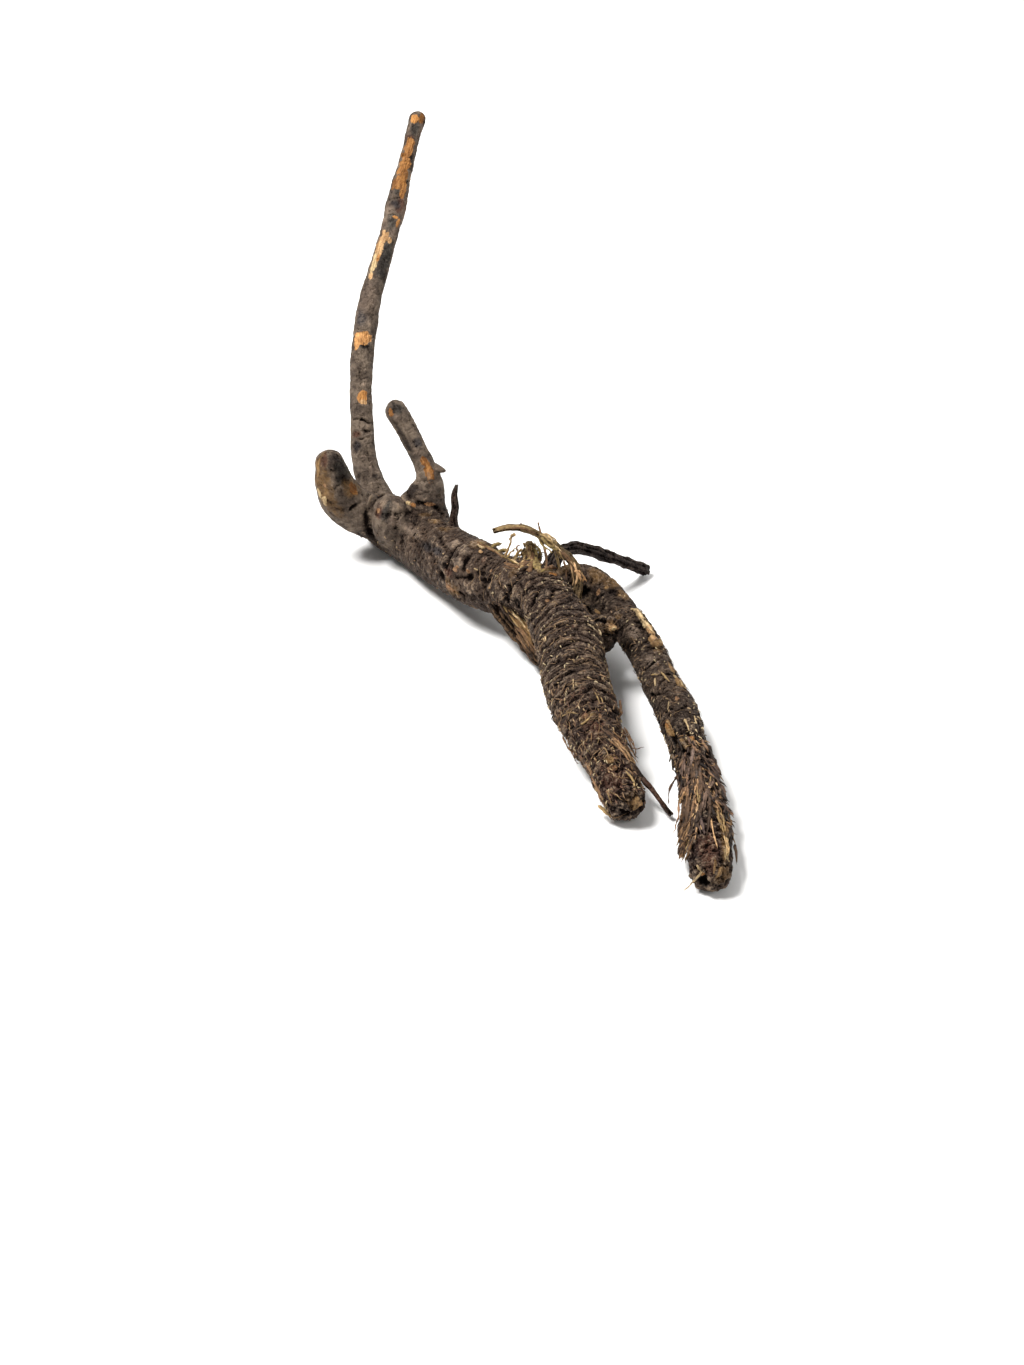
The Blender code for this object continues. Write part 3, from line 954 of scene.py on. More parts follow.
@dataclass(kw_only=True)
class BarkBody:
    """A part of the root that is one skin over several limbs, the first of which carries its fibres.

    voxel is the size of the skin's faces in millimetres. roughness scales the bark's relief, and tint replaces
    the coats' own colours. behind holds the patches of the far side.
    """

    name: str
    stretches: Stretches
    voxel: float
    finish: BarkFinish = BarkFinish()
    marks: tuple[Mark, ...] = ()
    creases: tuple[Crease, ...] = ()
    behind: tuple[Strewn, ...] = ()
    hollows: tuple[Hollow, ...] = ()
    smoothing: int = 12
    roughness: float = 1.0
    tint: str | None = None

    def build(self) -> bpy.types.Object:
        """Grows the limbs together, raises the bark on them and colours it.

        Returns:
            The finished piece.
        """
        self.lines = {limb.name: Line(limb) for limb, _, _ in self.stretches}
        self.skin = self.grow()
        vertices = read_mesh(self.skin)[0]
        self.spots = {name: locate(line, vertices) for name, line in self.lines.items()}
        self.smooth_tree = BVHTree.FromObject(self.skin, bpy.context.evaluated_depsgraph_get())
        self.raise_bark()
        self.tree = BVHTree.FromObject(self.skin, bpy.context.evaluated_depsgraph_get())
        self.skin.data.materials.clear()
        self.skin.data.materials.append(self.finish.material())
        return into_frame(self.skin)

    def grow(self) -> bpy.types.Object:
        """Draws the limbs, joins them and covers them with one even skin.

        Returns:
            The skin, still smooth.
        """
        tubes = [limb_tube(limb, self.lines[limb.name], first, last) for limb, first, last in self.stretches]
        only(tubes[0])
        for tube in tubes:
            tube.select_set(True)
        if len(tubes) > 1:
            bpy.ops.object.join()
        skin = bpy.context.object
        skin.name = skin.data.name = self.name
        apply_modifier(skin, "REMESH", mode="VOXEL", voxel_size=self.voxel)
        apply_modifier(skin, "SMOOTH", factor=0.5, iterations=self.smoothing)
        return skin

    def shares(self) -> dict[str, np.ndarray]:
        """How much each limb has a say at each vertex. The shares at a vertex add up to 1."""
        least = np.min([spot.miss for spot in self.spots.values()], axis=0)
        says = {name: np.exp((least - spot.miss) / LIMB_BLEND) for name, spot in self.spots.items()}
        total = sum(says.values())
        return {name: say / total for name, say in says.items()}

    def raise_bark(self) -> None:
        """Moves the skin by the solid's lumps and by the bark's own relief, and keeps what the material reads."""
        self.sink_hollows()
        points, outward = read_mesh(self.skin)
        shares = self.shares()
        height, lumpy, loose, most = (np.zeros(len(points)) for _ in range(4))
        scales, tint, paint = (np.zeros((len(points), values)) for values in (3, 4, 4))
        self.points, self.bark_tint, self.patch_paint = points, tint, paint
        for limb, _, _ in self.stretches:
            share, spot = shares[limb.name], self.spots[limb.name]
            lumpy += share * limb.lumpy
            for coat, amount in self.coat_amounts(limb, share).items():
                look = COAT_LOOKS[coat]
                tint += amount[:, None] * np.array(linear(self.tint or look.tint))
                loose += amount * look.loose
                here = amount > LEAST_AMOUNT
                height[here] += amount[here] * relief(coat, spot.part(here), points[here])
                leads = amount > most
                scales[leads] = spot.unrolled()[leads] / (look.around, look.around, look.along)
                most = np.maximum(most, amount)
        height *= self.roughness
        for mark in self.marks:
            height += self.lay_mark(mark)
        for strewn in self.behind:
            for worn in self.strew(strewn):
                height += self.wear(worn)
        for crease in self.creases:
            height -= self.cut_crease(crease)
        waves = ((LUMP_HEIGHT, LUMP_WAVE), (KNOT_HEIGHT, KNOT_WAVE))
        lumps = np.array([sum(high * noise.noise(Vector(p) / wave) for high, wave in waves) for p in points])
        points = points + outward * (lumps * lumpy + height)[:, None]
        points[:, 2] = np.maximum(points[:, 2], 0.0)
        move_vertices(self.skin, points)
        leader = np.argmax([shares[limb.name] for limb, _, _ in self.stretches], axis=0)
        flat = np.stack([self.spots[limb.name].unrolled() for limb, _, _ in self.stretches])
        store(self.skin, "limb", flat[leader, np.arange(len(points))])
        store(self.skin, "scales", scales)
        # Where the bark lies low against this average the material paints near-black shade, and where it stands high,
        # pale dusting with a painted highlight.
        mean = average_around(self.skin, height, round((MEAN_REACH / ROUND_REACH / self.voxel) ** 2))
        store(self.skin, "height", np.clip(height - mean, *HEIGHT_RANGE))
        store(self.skin, "loose", loose)
        store(self.skin, "tint", tint)
        store(self.skin, "paint", paint)

    def sink_hollows(self) -> None:
        """Pushes the skin in to the far wall of each hollow."""
        for hollow in self.hollows:
            points, outward = read_mesh(self.skin)
            turn = np.array(Matrix.Rotation(hollow.lean, 3, "Y")) * np.array(hollow.half_sizes)
            into = np.linalg.inv(turn)
            unit = (points - np.array(hollow.middle)) @ into.T
            inward = -outward @ into.T
            inward /= np.linalg.norm(inward, axis=1, keepdims=True)
            reach = (unit**2).sum(axis=1)
            inside = reach < 1
            toward = (unit * inward).sum(axis=1)[inside]
            depth = -toward + np.sqrt(toward**2 + 1 - reach[inside])
            unit[inside] += depth[:, None] * inward[inside]
            points[inside] = unit[inside] @ turn.T + np.array(hollow.middle)
            move_vertices(self.skin, points)
            apply_modifier(self.skin, "SMOOTH", factor=0.5, iterations=2)

    def coat_amounts(self, limb: Limb, share: np.ndarray) -> dict[Coat, np.ndarray]:
        """How much of each of a limb's coats lies at each vertex.

        Args:
            limb: The limb.
            share: How much the limb has a say at each vertex.

        Returns:
            Amounts by coat, already scaled by the share.
        """
        along, (distances, coats) = self.spots[limb.name].along, zip(*limb.coats)
        return {
            coat: share * np.interp(along, distances, [float(other is coat) for other in coats])
            for coat in dict.fromkeys(coats)
        }

    def lay_mark(self, mark: Mark) -> np.ndarray:
        """Paints a mark where the line of sight through its pixel meets the skin.

        Args:
            mark: The mark.

        Returns:
            How much it lowers the skin, below nought.
        """
        place = self.smooth_tree.ray_cast(*VIEW.ray(mark.u, mark.v))[0]
        if place is None:
            return np.zeros(len(self.points))
        spot_of = {name: locate(line, np.array([place])) for name, line in self.lines.items()}
        name = min(spot_of, key=lambda key: spot_of[key].miss[0])
        middle, line = spot_of[name], self.lines[name]
        pixel = VIEW.pixel_at(np.array(place))
        slant = abs(float(line.onward[line.at(middle.along)][0] @ VIEW.towards()))
        half_width = mark.width / 2 * pixel / max(LEAST_FACING, math.cos(middle.angle[0]))
        half_length = mark.length / 2 * pixel / math.sqrt(1 - min(slant, MOST_SLANT) ** 2)
        along, angle = middle.along[0], middle.angle[0]
        return self.wear(Worn(mark.patch, name, along, angle, half_width, half_length, mark.depth, mark.lean))

    def wear(self, worn: Worn) -> np.ndarray:
        """Paints one worn patch, or stains the bark with it, and says how deep it is sunk.

        Args:
            worn: The patch.

        Returns:
            How much it lowers the skin, below nought.
        """
        spot, line = self.spots[worn.limb], self.lines[worn.limb]
        points, tint, paint = self.points, self.bark_tint, self.patch_paint
        index = line.at(np.array([worn.along]))
        radius = line.radii[index]
        place = line.places[index] + line.outward(index, np.array([worn.angle])) * radius[:, None]
        turn = (spot.angle - worn.angle + math.pi) % (2 * math.pi) - math.pi
        across, ahead = turn * radius, spot.along - worn.along
        lean = math.radians(worn.lean)
        wide = across * math.cos(lean) + ahead * math.sin(lean)
        long = ahead * math.cos(lean) - across * math.sin(lean)
        reach = np.hypot(wide / worn.half_width, long / worn.half_length)
        widest = 2 * max(float(worn.half_width), float(worn.half_length))
        near = (reach < 2) & (np.linalg.norm(points - place, axis=1) < widest)
        strength = np.zeros(len(points))
        # Coarse and fine noise make its edge ragged.
        ragged = reach[near] + 0.40 * swell(points[near] / 1.4, 51) + 0.20 * swell(points[near] / 0.6, 52)
        if worn.patch is None:
            strength[near] = ease(reach[near], *DENT_EDGE)
            return -worn.depth * strength
        colour = np.array(linear(worn.patch.value)[:3])
        # Stains and painted shade soak softly into the bark's tint.
        if worn.patch.soaks_in():
            strength[near] = ease(ragged, *SOFT_PATCH_EDGE)
            tint[:, :3] += SOFT_PATCH_SHARE * (colour - tint[:, :3]) * strength[:, None]
            return -worn.depth * strength
        strength[near] = ease(ragged, *CRISP_EDGE)
        mixed = paint[:, :3] + (colour - paint[:, :3]) * strength[:, None]
        paint[:, :3] = np.where(paint[:, 3:] > PAINTED, mixed, colour)
        paint[:, 3] = np.maximum(paint[:, 3], strength)
        return -worn.depth * strength

    def strew(self, strewn: Strewn) -> list[Worn]:
        """Draws where patches are on the side of a limb that the photograph does not show.

        Args:
            strewn: Which, how many and where.

        Returns:
            The patches.
        """
        draw, made = np.random.default_rng(strewn.seed), []
        for _ in range(strewn.count):
            patch = strewn.patches[draw.integers(len(strewn.patches))]
            along, angle = draw.uniform(*strewn.span), math.radians(draw.uniform(*FAR_SIDE))
            wide, long, depth, lean = (draw.uniform(*limits) for limits in STREWN_RANGES)
            made.append(Worn(patch, strewn.limb, along, angle, wide * strewn.size, long * strewn.size, depth, lean))
        return made

    def cut_crease(self, crease: Crease) -> np.ndarray:
        """How deep a crease is at each vertex.

        Args:
            crease: The crease.

        Returns:
            Depths in millimetres.
        """
        points, depth = self.points, np.zeros(len(self.points))
        hits = [self.smooth_tree.ray_cast(*VIEW.ray(u, v))[0] for u, v in crease.pixels]
        path = np.array([hit for hit in hits if hit is not None])
        if len(path) < 2:
            return depth
        steps = np.linspace(0, len(path) - 1, CREASE_SAMPLES * len(path))
        path = np.stack([np.interp(steps, np.arange(len(path)), path[:, k]) for k in range(3)], axis=1)
        path += CREASE_WANDER * np.stack([swell(path / 1.6, 61 + k) for k in range(3)], axis=1)
        low, high = path.min(axis=0) - CREASE_REACH, path.max(axis=0) + CREASE_REACH
        near = np.flatnonzero(((points > low) & (points < high)).all(axis=1))
        apart = np.linalg.norm(points[near][:, None] - path[None], axis=2)
        nearest = apart.argmin(axis=1)
        taper = np.sin(np.pi * np.clip(nearest / (len(path) - 1), *CREASE_ENDS)) ** 0.5
        depth[near] = crease.depth * taper * np.exp(-((apart.min(axis=1) / (crease.width / 2)) ** 2))
        return depth


# Patches, bumps, dents and furrows of the limbs, by pixels of the photograph. A later mark lies over an earlier one.
# The dark-bark and charcoal marks are partly the bark's own dark patches and partly painted shade: in hollows,
# pits, gaps, under the stump and down shaded sides.
LONG_ROOT_MARKS = table(
    Mark,
    (GREY_BARK, 410, 130, 6, 14), (GREY_BARK, 420, 131, 5, 12), (BROWN_WOOD, 422, 118, 6, 12),
    (ORANGE_WOOD, 415, 118, 9, 10), (CHARCOAL, 415, 129, 8, 12, 0.1), (RED_BARK, 408, 137, 12, 4),
    (OCHRE_WOOD, 409, 147, 10, 18), (GREY_BARK, 415, 146, 4, 14), (OCHRE_WOOD, 404, 165, 11, 26),
    # On this row, the dark-bark mark paints shade along the long root's darker right side.
    (BROWN_WOOD, 403, 155, 5, 5, 0.15), (DARK_BARK, 410, 163, 6, 18, 0.1), (OCHRE_WOOD, 401, 181, 13, 18),
    (BROWN_WOOD, 406, 174, 5, 9), (BROWN_WOOD, 394, 184, 4, 12), (OCHRE_WOOD, 403, 191, 6, 14),
    (CHARCOAL, 397, 191, 6, 7, 0.2), (RED_BARK, 401, 205, 8, 16), (BLUE_GREY_BARK, 395, 204, 10, 8),
    (GREY_BARK, 389, 209, 8, 10), (CHARCOAL, 391, 222, 9, 16), (ORANGE_WOOD, 395, 217, 8, 3, -0.1),
    (ORANGE_WOOD, 398, 223, 3, 12, -0.1), (GREY_BARK, 384, 224, 6, 12), (GREY_BARK, 394, 234, 7, 10),
    (PALE_WOOD, 384, 237, 8, 13), (PALE_WOOD, 390, 240, 5, 6), (CHARCOAL, 388, 251, 11, 22, 0.05),
    (PALE_WOOD, 379, 249, 7, 22), (CHARCOAL, 383, 266, 11, 24), (CREAM_SKIN, 374, 264, 6, 24),
    (PALE_WOOD, 371, 276, 4, 9), (ORANGE_WOOD, 378, 258, 3, 8), (GREY_BARK, 366, 299, 16, 34),
    (BLUE_GREY_BARK, 361, 318, 10, 14), (PEACH_WOOD, 363, 337, 20, 14, 0.1), (PEACH_WOOD, 356, 345, 6, 9, 0.1),
    (CHARCOAL, 365, 346, 8, 4, 0.25), (ORANGE_WOOD, 363, 397, 10, 12, 0.05), (PALE_WOOD, 364, 402, 7, 5, 0.05),
    (GREY_BARK, 364, 385, 4, 4, -0.3), (RED_BARK, 356, 434, 9, 6, 0.25), (BLUE_GREY_BARK, 356, 446, 8, 10, 0.3),
    (GREY_BARK, 371, 470, 4, 8, -0.2), (GREY_BARK, 364, 457, 5, 5, -0.2), (DARK_BARK, 375, 476, 7, 4, 0.05),
)
STUB_MARKS = table(
    Mark,
    (CHARCOAL, 398, 409, 13, 9, 0.2), (BROWN_WOOD, 391, 413, 4, 8), (GREY_BARK, 396, 417, 5, 8, -0.1),
    # On this row, the first dark-bark mark paints shade down the right stub's darker left side.
    (DARK_BARK, 403, 437, 5, 34), (BLUE_GREY_BARK, 418, 443, 8, 8, 0.15), (GREY_BARK, 416, 453, 7, 8, -0.1),
    (BROWN_WOOD, 424, 461, 8, 12), (OCHRE_WOOD, 424, 461, 4, 7), (BROWN_WOOD, 429, 470, 9, 16),
    # On this row, the dark-bark mark paints the shadow at the right stub's base.
    (OCHRE_WOOD, 429, 470, 4, 11), (DULL_WOOD, 429, 477, 4, 5), (DARK_BARK, 412, 489, 8, 10),
    (TAN_BARK, 320, 474, 14, 44), (TAN_BARK, 326, 500, 14, 26), (RED_BARK, 324, 460, 8, 10),
    (DULL_WOOD, 324, 453, 3, 2), (TAN_EARTH, 317, 468, 3, 14), (DULL_WOOD, 324, 486, 3, 3),
    # The dark-bark mark at the end of this row and the charcoal and dark-bark marks on the next paint the shade in the
    # left stub's hollow.
    (CREAM_SKIN, 318, 493, 3, 8, -0.1), (CREAM_SKIN, 324, 502, 3, 10, -0.3, 35), (DARK_BARK, 338, 462, 12, 12, 0.1),
    (CHARCOAL, 345, 474, 12, 20, 0.2), (DARK_BARK, 349, 484, 6, 14, 0.1), (TAN_BARK, 353, 490, 12, 18),
    (BROWN_WOOD, 354, 489, 6, 12), (OCHRE_WOOD, 356, 493, 3, 6),
)
TRUNK_MARKS = table(
    Mark,
    (None, 401, 502, 20, 12, -1.0), (RED_BARK, 379, 513, 9, 7, 0.1), (DULL_WOOD, 379, 511, 4, 3),
    (CHARCOAL, 387, 513, 14, 12, 0.1), (DARK_BARK, 369, 536, 8, 20), (CREAM_SKIN, 410, 503, 5, 3, -0.4),
    (OCHRE_WOOD, 414, 505, 6, 3, -0.3), (DULL_WOOD, 430, 505, 12, 2, -0.3), (TAN_BARK, 425, 514, 12, 6),
    (TAN_BARK, 436, 520, 9, 7, -0.2), (TAN_BARK, 445, 528, 8, 8), (GREY_BARK, 392, 522, 10, 14),
    (GREY_BARK, 409, 530, 9, 20), (BLUE_GREY_BARK, 426, 546, 8, 12, 0.2), (BLUE_GREY_BARK, 436, 550, 8, 12, 0.3),
    # The two dark-bark marks on this row paint the shade in the pits under the trunk's lumps.
    (DARK_BARK, 445, 566, 6, 7, 0.6), (DARK_BARK, 441, 576, 6, 7, 0.8), (RED_BARK, 448, 572, 7, 8, 0.1),
    (DULL_WOOD, 447, 569, 2, 3), (DULL_WOOD, 457, 567, 2, 2), (GREY_BARK, 454, 543, 10, 9, -0.4),
)
FORK_MARKS = table(
    Mark,
    # The dark-bark marks at the end of this row and on the next paint shadows under the fork's clods and along its
    # underside.
    (None, 500, 549, 60, 46, 1.3), (None, 514, 622, 22, 56, 2.2), (DARK_BARK, 468, 577, 9, 4, 0.5),
    (DARK_BARK, 478, 572, 5, 8, 0.35), (DARK_BARK, 484, 580, 6, 10, 0.35), (DARK_BARK, 460, 604, 14, 6, 0.4),
    (None, 470, 588, 16, 14, -0.6), (DULL_WOOD, 455, 570, 4, 4, -0.4), (TAN_BARK, 449, 587, 10, 16, -0.2),
    (DULL_WOOD, 450, 587, 4, 9), (TAN_BARK, 478, 543, 12, 9, -0.4), (PALE_WOOD, 480, 549, 3, 3, -0.3),
    # The two dark-bark marks on this row paint the shade of the hole that the torn root comes out of.
    (RED_BARK, 483, 556, 6, 3, -0.3), (DARK_BARK, 506, 594, 20, 9, 1.0), (DARK_BARK, 513, 604, 10, 12, 0.9),
    (TAN_BARK, 520, 566, 24, 6, -0.2), (TAN_BARK, 552, 571, 16, 6, -0.3), (OCHRE_WOOD, 553, 573, 5, 3),
    (DULL_WOOD, 467, 571, 4, 3, -0.4), (CREAM_SKIN, 474, 568, 2, 4, -0.2), (CREAM_SKIN, 495, 575, 3, 3, -0.2),
    (PALE_WOOD, 489, 588, 2, 3, -0.2), (DULL_WOOD, 489, 569, 4, 2, -0.2), (GREY_BARK, 462, 549, 10, 10, -0.4),
    # The dark-bark marks at the end of this row and the start of the next paint the shade in the notch between the two
    # roots and above the stump.
    (GREY_BARK, 457, 562, 10, 9, -0.4), (DARK_BARK, 583, 592, 10, 14, 0.8), (DARK_BARK, 587, 605, 8, 12),
    (DARK_BARK, 602, 617, 16, 5), (TAN_BARK, 577, 577, 12, 12, -0.3), (PEACH_WOOD, 581, 578, 8, 10, -0.1),
    (DULL_WOOD, 546.5, 599, 5, 3, -0.2), (RED_BARK, 575, 631, 8, 6, -0.2), (RED_BARK, 568, 641, 9, 6, 0.2),
    (DULL_WOOD, 568, 641, 3, 2), (TAN_BARK, 598, 575, 16, 14, -0.2), (TAN_BARK, 612, 582, 14, 16, -0.2),
    (TAN_BARK, 624, 594, 8, 14, -0.1), (DULL_WOOD, 598, 592, 4, 9, -0.1, 50), (TAN_EARTH, 597.5, 611, 4, 5, -0.2),
    (DARK_BARK, 613, 591, 8, 8, 0.3), (TAN_EARTH, 607, 587, 4, 3, -0.2), (TAN_BARK, 618, 617, 7, 5, -0.2),
    (TAN_BARK, 610, 626, 14, 14, -0.1), (PALE_WOOD, 613, 628, 8, 8, -0.3), (CREAM_SKIN, 614, 629, 4, 5, -0.3),
)
CROWN_CREASES = table(
    Crease,
    (((352, 419), (357, 419), (362, 420), (368, 422), (373, 425)), 0.8, 0.6),
    (((362, 430), (367, 431), (372, 430)), 1.0, 0.6), (((353, 378), (362, 379), (371, 378)), 0.5, 0.2),
    (((353, 438), (360, 439), (369, 438)), 0.6, 0.35), (((362, 288), (370, 291), (376, 288)), 0.5, 0.25),
    (((390, 200), (396, 198), (404, 197)), 0.5, 0.3), (((417, 482), (426, 481), (437, 483)), 0.8, 0.22),
    (((414, 489), (426, 487), (440, 489)), 0.8, 0.25), (((414, 496), (426, 493), (441, 496)), 0.8, 0.30),
    (((333, 493), (336, 487), (344, 484)), 0.7, 0.35), (((349, 512), (352, 508), (360, 503)), 1.0, 0.6),
    (((330, 468), (334, 472), (340, 474)), 0.8, 0.2),
)
TRUNK_CREASES = table(
    Crease,
    (((415, 503), (420, 504), (428, 504), (438, 508), (444, 515)), 1.2, 0.7),
    (((373, 507), (375, 501), (380, 497), (386, 494)), 0.6, 0.35),
    (((377, 508), (379, 503), (383, 499), (388, 497)), 0.5, 0.30),
    (((369, 506), (366, 515), (367, 525), (370, 535), (378, 545)), 2.0, 0.8),
    (((384, 519), (390, 512), (393, 506)), 1.4, 0.25), (((391, 506), (390, 520), (391, 534), (395, 548)), 3.6, 0.45),
    (((399, 503), (398, 520), (400, 540), (406, 558)), 3.0, 0.5),
    (((413, 512), (412, 526), (416, 544), (424, 562)), 3.6, 0.45),
    (((424, 522), (424, 536), (428, 550), (434, 562), (441, 574)), 2.6, 0.5),
    (((436, 530), (441, 541), (446, 553)), 1.4, 0.35), (((455, 547), (449, 556), (447, 566)), 1.4, 0.5),
)
FORK_CREASES = table(
    Crease,
    (((470, 553), (463, 562), (462, 572)), 1.2, 0.7), (((484, 562), (481, 574), (484, 590), (491, 602)), 1.2, 0.45),
    (((497, 570), (497, 582), (502, 592)), 1.1, 0.35), (((453, 578), (460, 577), (468, 579), (476, 576)), 1.2, 0.5),
    (((446, 590), (456, 592), (466, 597)), 1.1, 0.4), (((515, 572), (520, 584), (527, 596), (537, 606)), 1.1, 0.35),
    (((573, 584), (579, 593), (586, 605), (592, 613)), 1.7, 1.0), (((595, 600), (600, 597), (605, 592)), 0.7, 0.4),
    (((590, 614), (597, 617.5), (604, 619.5), (613, 621)), 1.4, 0.9), (((579, 637), (589, 641), (599, 644)), 1.3, 0.7),
)
RINGED_ROOT_MARKS = table(
    Mark,
    (TAN_BARK, 588, 716, 16, 8, -0.2), (DULL_WOOD, 584, 716, 7, 5, -0.2), (DULL_WOOD, 600, 715, 3, 4),
    (TAN_EARTH, 611, 758, 14, 8, -0.2), (DULL_WOOD, 612, 767, 12, 5, -0.2), (TAN_BARK, 634, 803, 14, 10),
    (TAN_EARTH, 636, 806, 10, 7, -0.3), (PALE_WOOD, 640, 805, 5, 5, -0.1), (TAN_EARTH, 629, 805, 5, 4, -0.2),
    # On this row, the charcoal mark paints the shade of the hollow at the broken tip.
    (CHARCOAL, 628, 815, 14, 5, 0.9), (RED_BARK, 612, 780, 24, 20), (RED_BARK, 596, 727, 20, 16),
)
ROOTLET_MARKS = table(
    Mark,
    (RED_BARK, 650, 786, 10, 18), (RED_BARK, 660, 799, 10, 18),
)
SIDE_ROOT_MARKS = table(
    Mark,
    (CREAM_SKIN, 636, 611, 5, 12, -0.6, -6), (CREAM_SKIN, 641, 619, 6, 14, -0.8, -6),
    (CREAM_SKIN, 646, 626, 6, 10, -0.8, -6), (PALE_WOOD, 650, 632, 6, 8, -0.6), (TAN_EARTH, 654, 641, 10, 10, -0.4),
    (PALE_WOOD, 653, 639, 6, 7, -0.3), (TAN_EARTH, 656, 644, 10, 5, -0.3), (CREAM_SKIN, 661, 641, 3, 6, -0.3),
    (TAN_BARK, 657, 646, 8, 12), (TAN_EARTH, 672, 668, 4, 12, -0.3), (CREAM_SKIN, 675, 676, 3, 5, -0.3),
    (TAN_EARTH, 679, 682, 5, 10, -0.3), (CREAM_SKIN, 682, 684, 3, 5, -0.3), (DULL_WOOD, 677, 699, 5, 4, -0.2),
    # On this row, the dark-bark mark paints the shade of a crack beside the bared patch.
    (TAN_EARTH, 667, 727, 7, 14, -0.2), (OCHRE_WOOD, 666, 724, 3, 6, -0.1), (DARK_BARK, 672, 735, 6, 10, 0.25),
    (TAN_BARK, 687, 740, 18, 12, -0.3), (TAN_EARTH, 683, 740, 7, 4, -0.3), (OCHRE_WOOD, 691, 737, 7, 4, -0.2),
    (TAN_BARK, 677, 744, 8, 5, -0.2), (TAN_BARK, 726, 832, 9, 66), (TAN_BARK, 721, 806, 10, 30),
    (CREAM_SKIN, 721, 806, 3, 6, -0.2), (CREAM_SKIN, 724, 819, 3, 6, -0.2), (TAN_EARTH, 726, 829, 5, 7, -0.2),
    (CREAM_SKIN, 727, 842, 4, 9, -0.2), (CREAM_SKIN, 727, 855, 6, 11, -0.2), (TAN_EARTH, 718, 876, 6, 8, -0.2),
    # On this row, the charcoal mark paints the shade of the cavity in the tip's broken end.
    (CHARCOAL, 706, 884, 15, 4, 1.2), (OCHRE_WOOD, 704, 877, 6, 3), (TAN_BARK, 722, 878, 14, 12),
    (RED_BARK, 708, 850, 18, 30), (CREAM_SKIN, 698, 868, 2, 5, -0.2), (TAN_EARTH, 715, 866, 3, 7, -0.2),
    (GREY_BARK, 634, 632, 10, 14), (GREY_BARK, 652, 660, 14, 12), (GREY_BARK, 694, 754, 5, 18, -0.2),
)
SIDE_ROOT_CREASES = table(
    Crease,
    (((641, 672), (646, 668), (652, 663), (661, 657)), 0.8, 0.7), (((657, 686), (663, 680), (668, 676)), 0.7, 0.5),
    (((640, 690), (648, 694), (657, 694)), 0.6, 0.4), (((672, 712), (680, 710), (690, 704)), 0.7, 0.5),
    (((680, 748), (688, 751), (698, 747)), 1.0, 0.7), (((647, 690), (653, 696), (661, 693), (667, 684)), 0.7, 0.5),
)


# Patches of the far side: where the bark is bared and where it is stained, and on the rougher parts.
BARED = (ORANGE_WOOD, OCHRE_WOOD, PALE_WOOD, BROWN_WOOD, CHARCOAL, GREY_BARK)
STAINED = (GREY_BARK, DARK_BARK, BLUE_GREY_BARK, RED_BARK, TAN_BARK)
EARTHY = (TAN_BARK, TAN_EARTH, DARK_BARK, OCHRE_WOOD, RED_BARK)
CROWN_BEHIND = table(
    Strewn,
    (BARED, "long_root", 22, (70, 145), 1.6, 101), (STAINED, "long_root", 14, (20, 100), 2.4, 102),
    (STAINED, "left_stub", 5, (14, 30), 2.4, 103), (BARED, "right_stub", 5, (14, 32), 1.2, 104),
    (STAINED, "rhizome", 18, (6, 56), 3.0, 105),
)
FORK_BEHIND = table(
    Strewn,
    (EARTHY, "rhizome", 12, (60, 106), 1.8, 106), (EARTHY, "side_root", 8, (10, 34), 1.4, 107),
)
RINGED_ROOT_BEHIND = table(Strewn, (EARTHY, "rhizome", 14, (108, 160), 1.6, 108))
SIDE_ROOT_BEHIND = table(Strewn, (EARTHY, "side_root", 18, (36, 116), 1.4, 109))


def whole(*limbs: Limb) -> Stretches:
    """Limbs from end to end."""
    return tuple((limb, 0.0, None) for limb in limbs)


@dataclass(kw_only=True)
class Crown(BarkBody):
    """The crown with its knob, its long root and its two stubs."""

    name: str = "crown"
    stretches: Stretches = ((RHIZOME, 0.0, 58.0), *whole(LONG_ROOT, LEFT_STUB, RIGHT_STUB, CROWN_KNOB, SPUR))
    voxel: float = 0.35
    marks: tuple[Mark, ...] = LONG_ROOT_MARKS + STUB_MARKS + TRUNK_MARKS
    creases: tuple[Crease, ...] = CROWN_CREASES + TRUNK_CREASES
    behind: tuple[Strewn, ...] = CROWN_BEHIND
    hollows: tuple[Hollow, ...] = (Hollow((-47.8, 66.0, 30.8), (2.3, 3.2, 5.6), math.radians(-23.0)),)


@dataclass(kw_only=True)
class Fork(BarkBody):
    """The trunk from the crown to below the fork, with the side root's start and the broken stump."""

    name: str = "fork"
    stretches: Stretches = ((RHIZOME, 55.0, 108.0), (SIDE_ROOT, 0.0, 36.0), *whole(FORK_WEB, STUMP))
    voxel: float = 0.275
    marks: tuple[Mark, ...] = TRUNK_MARKS + FORK_MARKS
    creases: tuple[Crease, ...] = TRUNK_CREASES + FORK_CREASES
    behind: tuple[Strewn, ...] = FORK_BEHIND


@dataclass(kw_only=True)
class RingedRoot(BarkBody):
    """The thick front root, from below the fork to its broken tip."""

    name: str = "ringed_root"
    stretches: Stretches = ((RHIZOME, 105.0, None),)
    voxel: float = 0.24
    marks: tuple[Mark, ...] = RINGED_ROOT_MARKS
    behind: tuple[Strewn, ...] = RINGED_ROOT_BEHIND


@dataclass(kw_only=True)
class SideRoot(BarkBody):
    """The side root, smooth at the fork and shaggy at the tip."""

    name: str = "side_root"
    stretches: Stretches = ((SIDE_ROOT, 33.0, None),)
    voxel: float = 0.26
    marks: tuple[Mark, ...] = SIDE_ROOT_MARKS
    creases: tuple[Crease, ...] = SIDE_ROOT_CREASES
    behind: tuple[Strewn, ...] = SIDE_ROOT_BEHIND


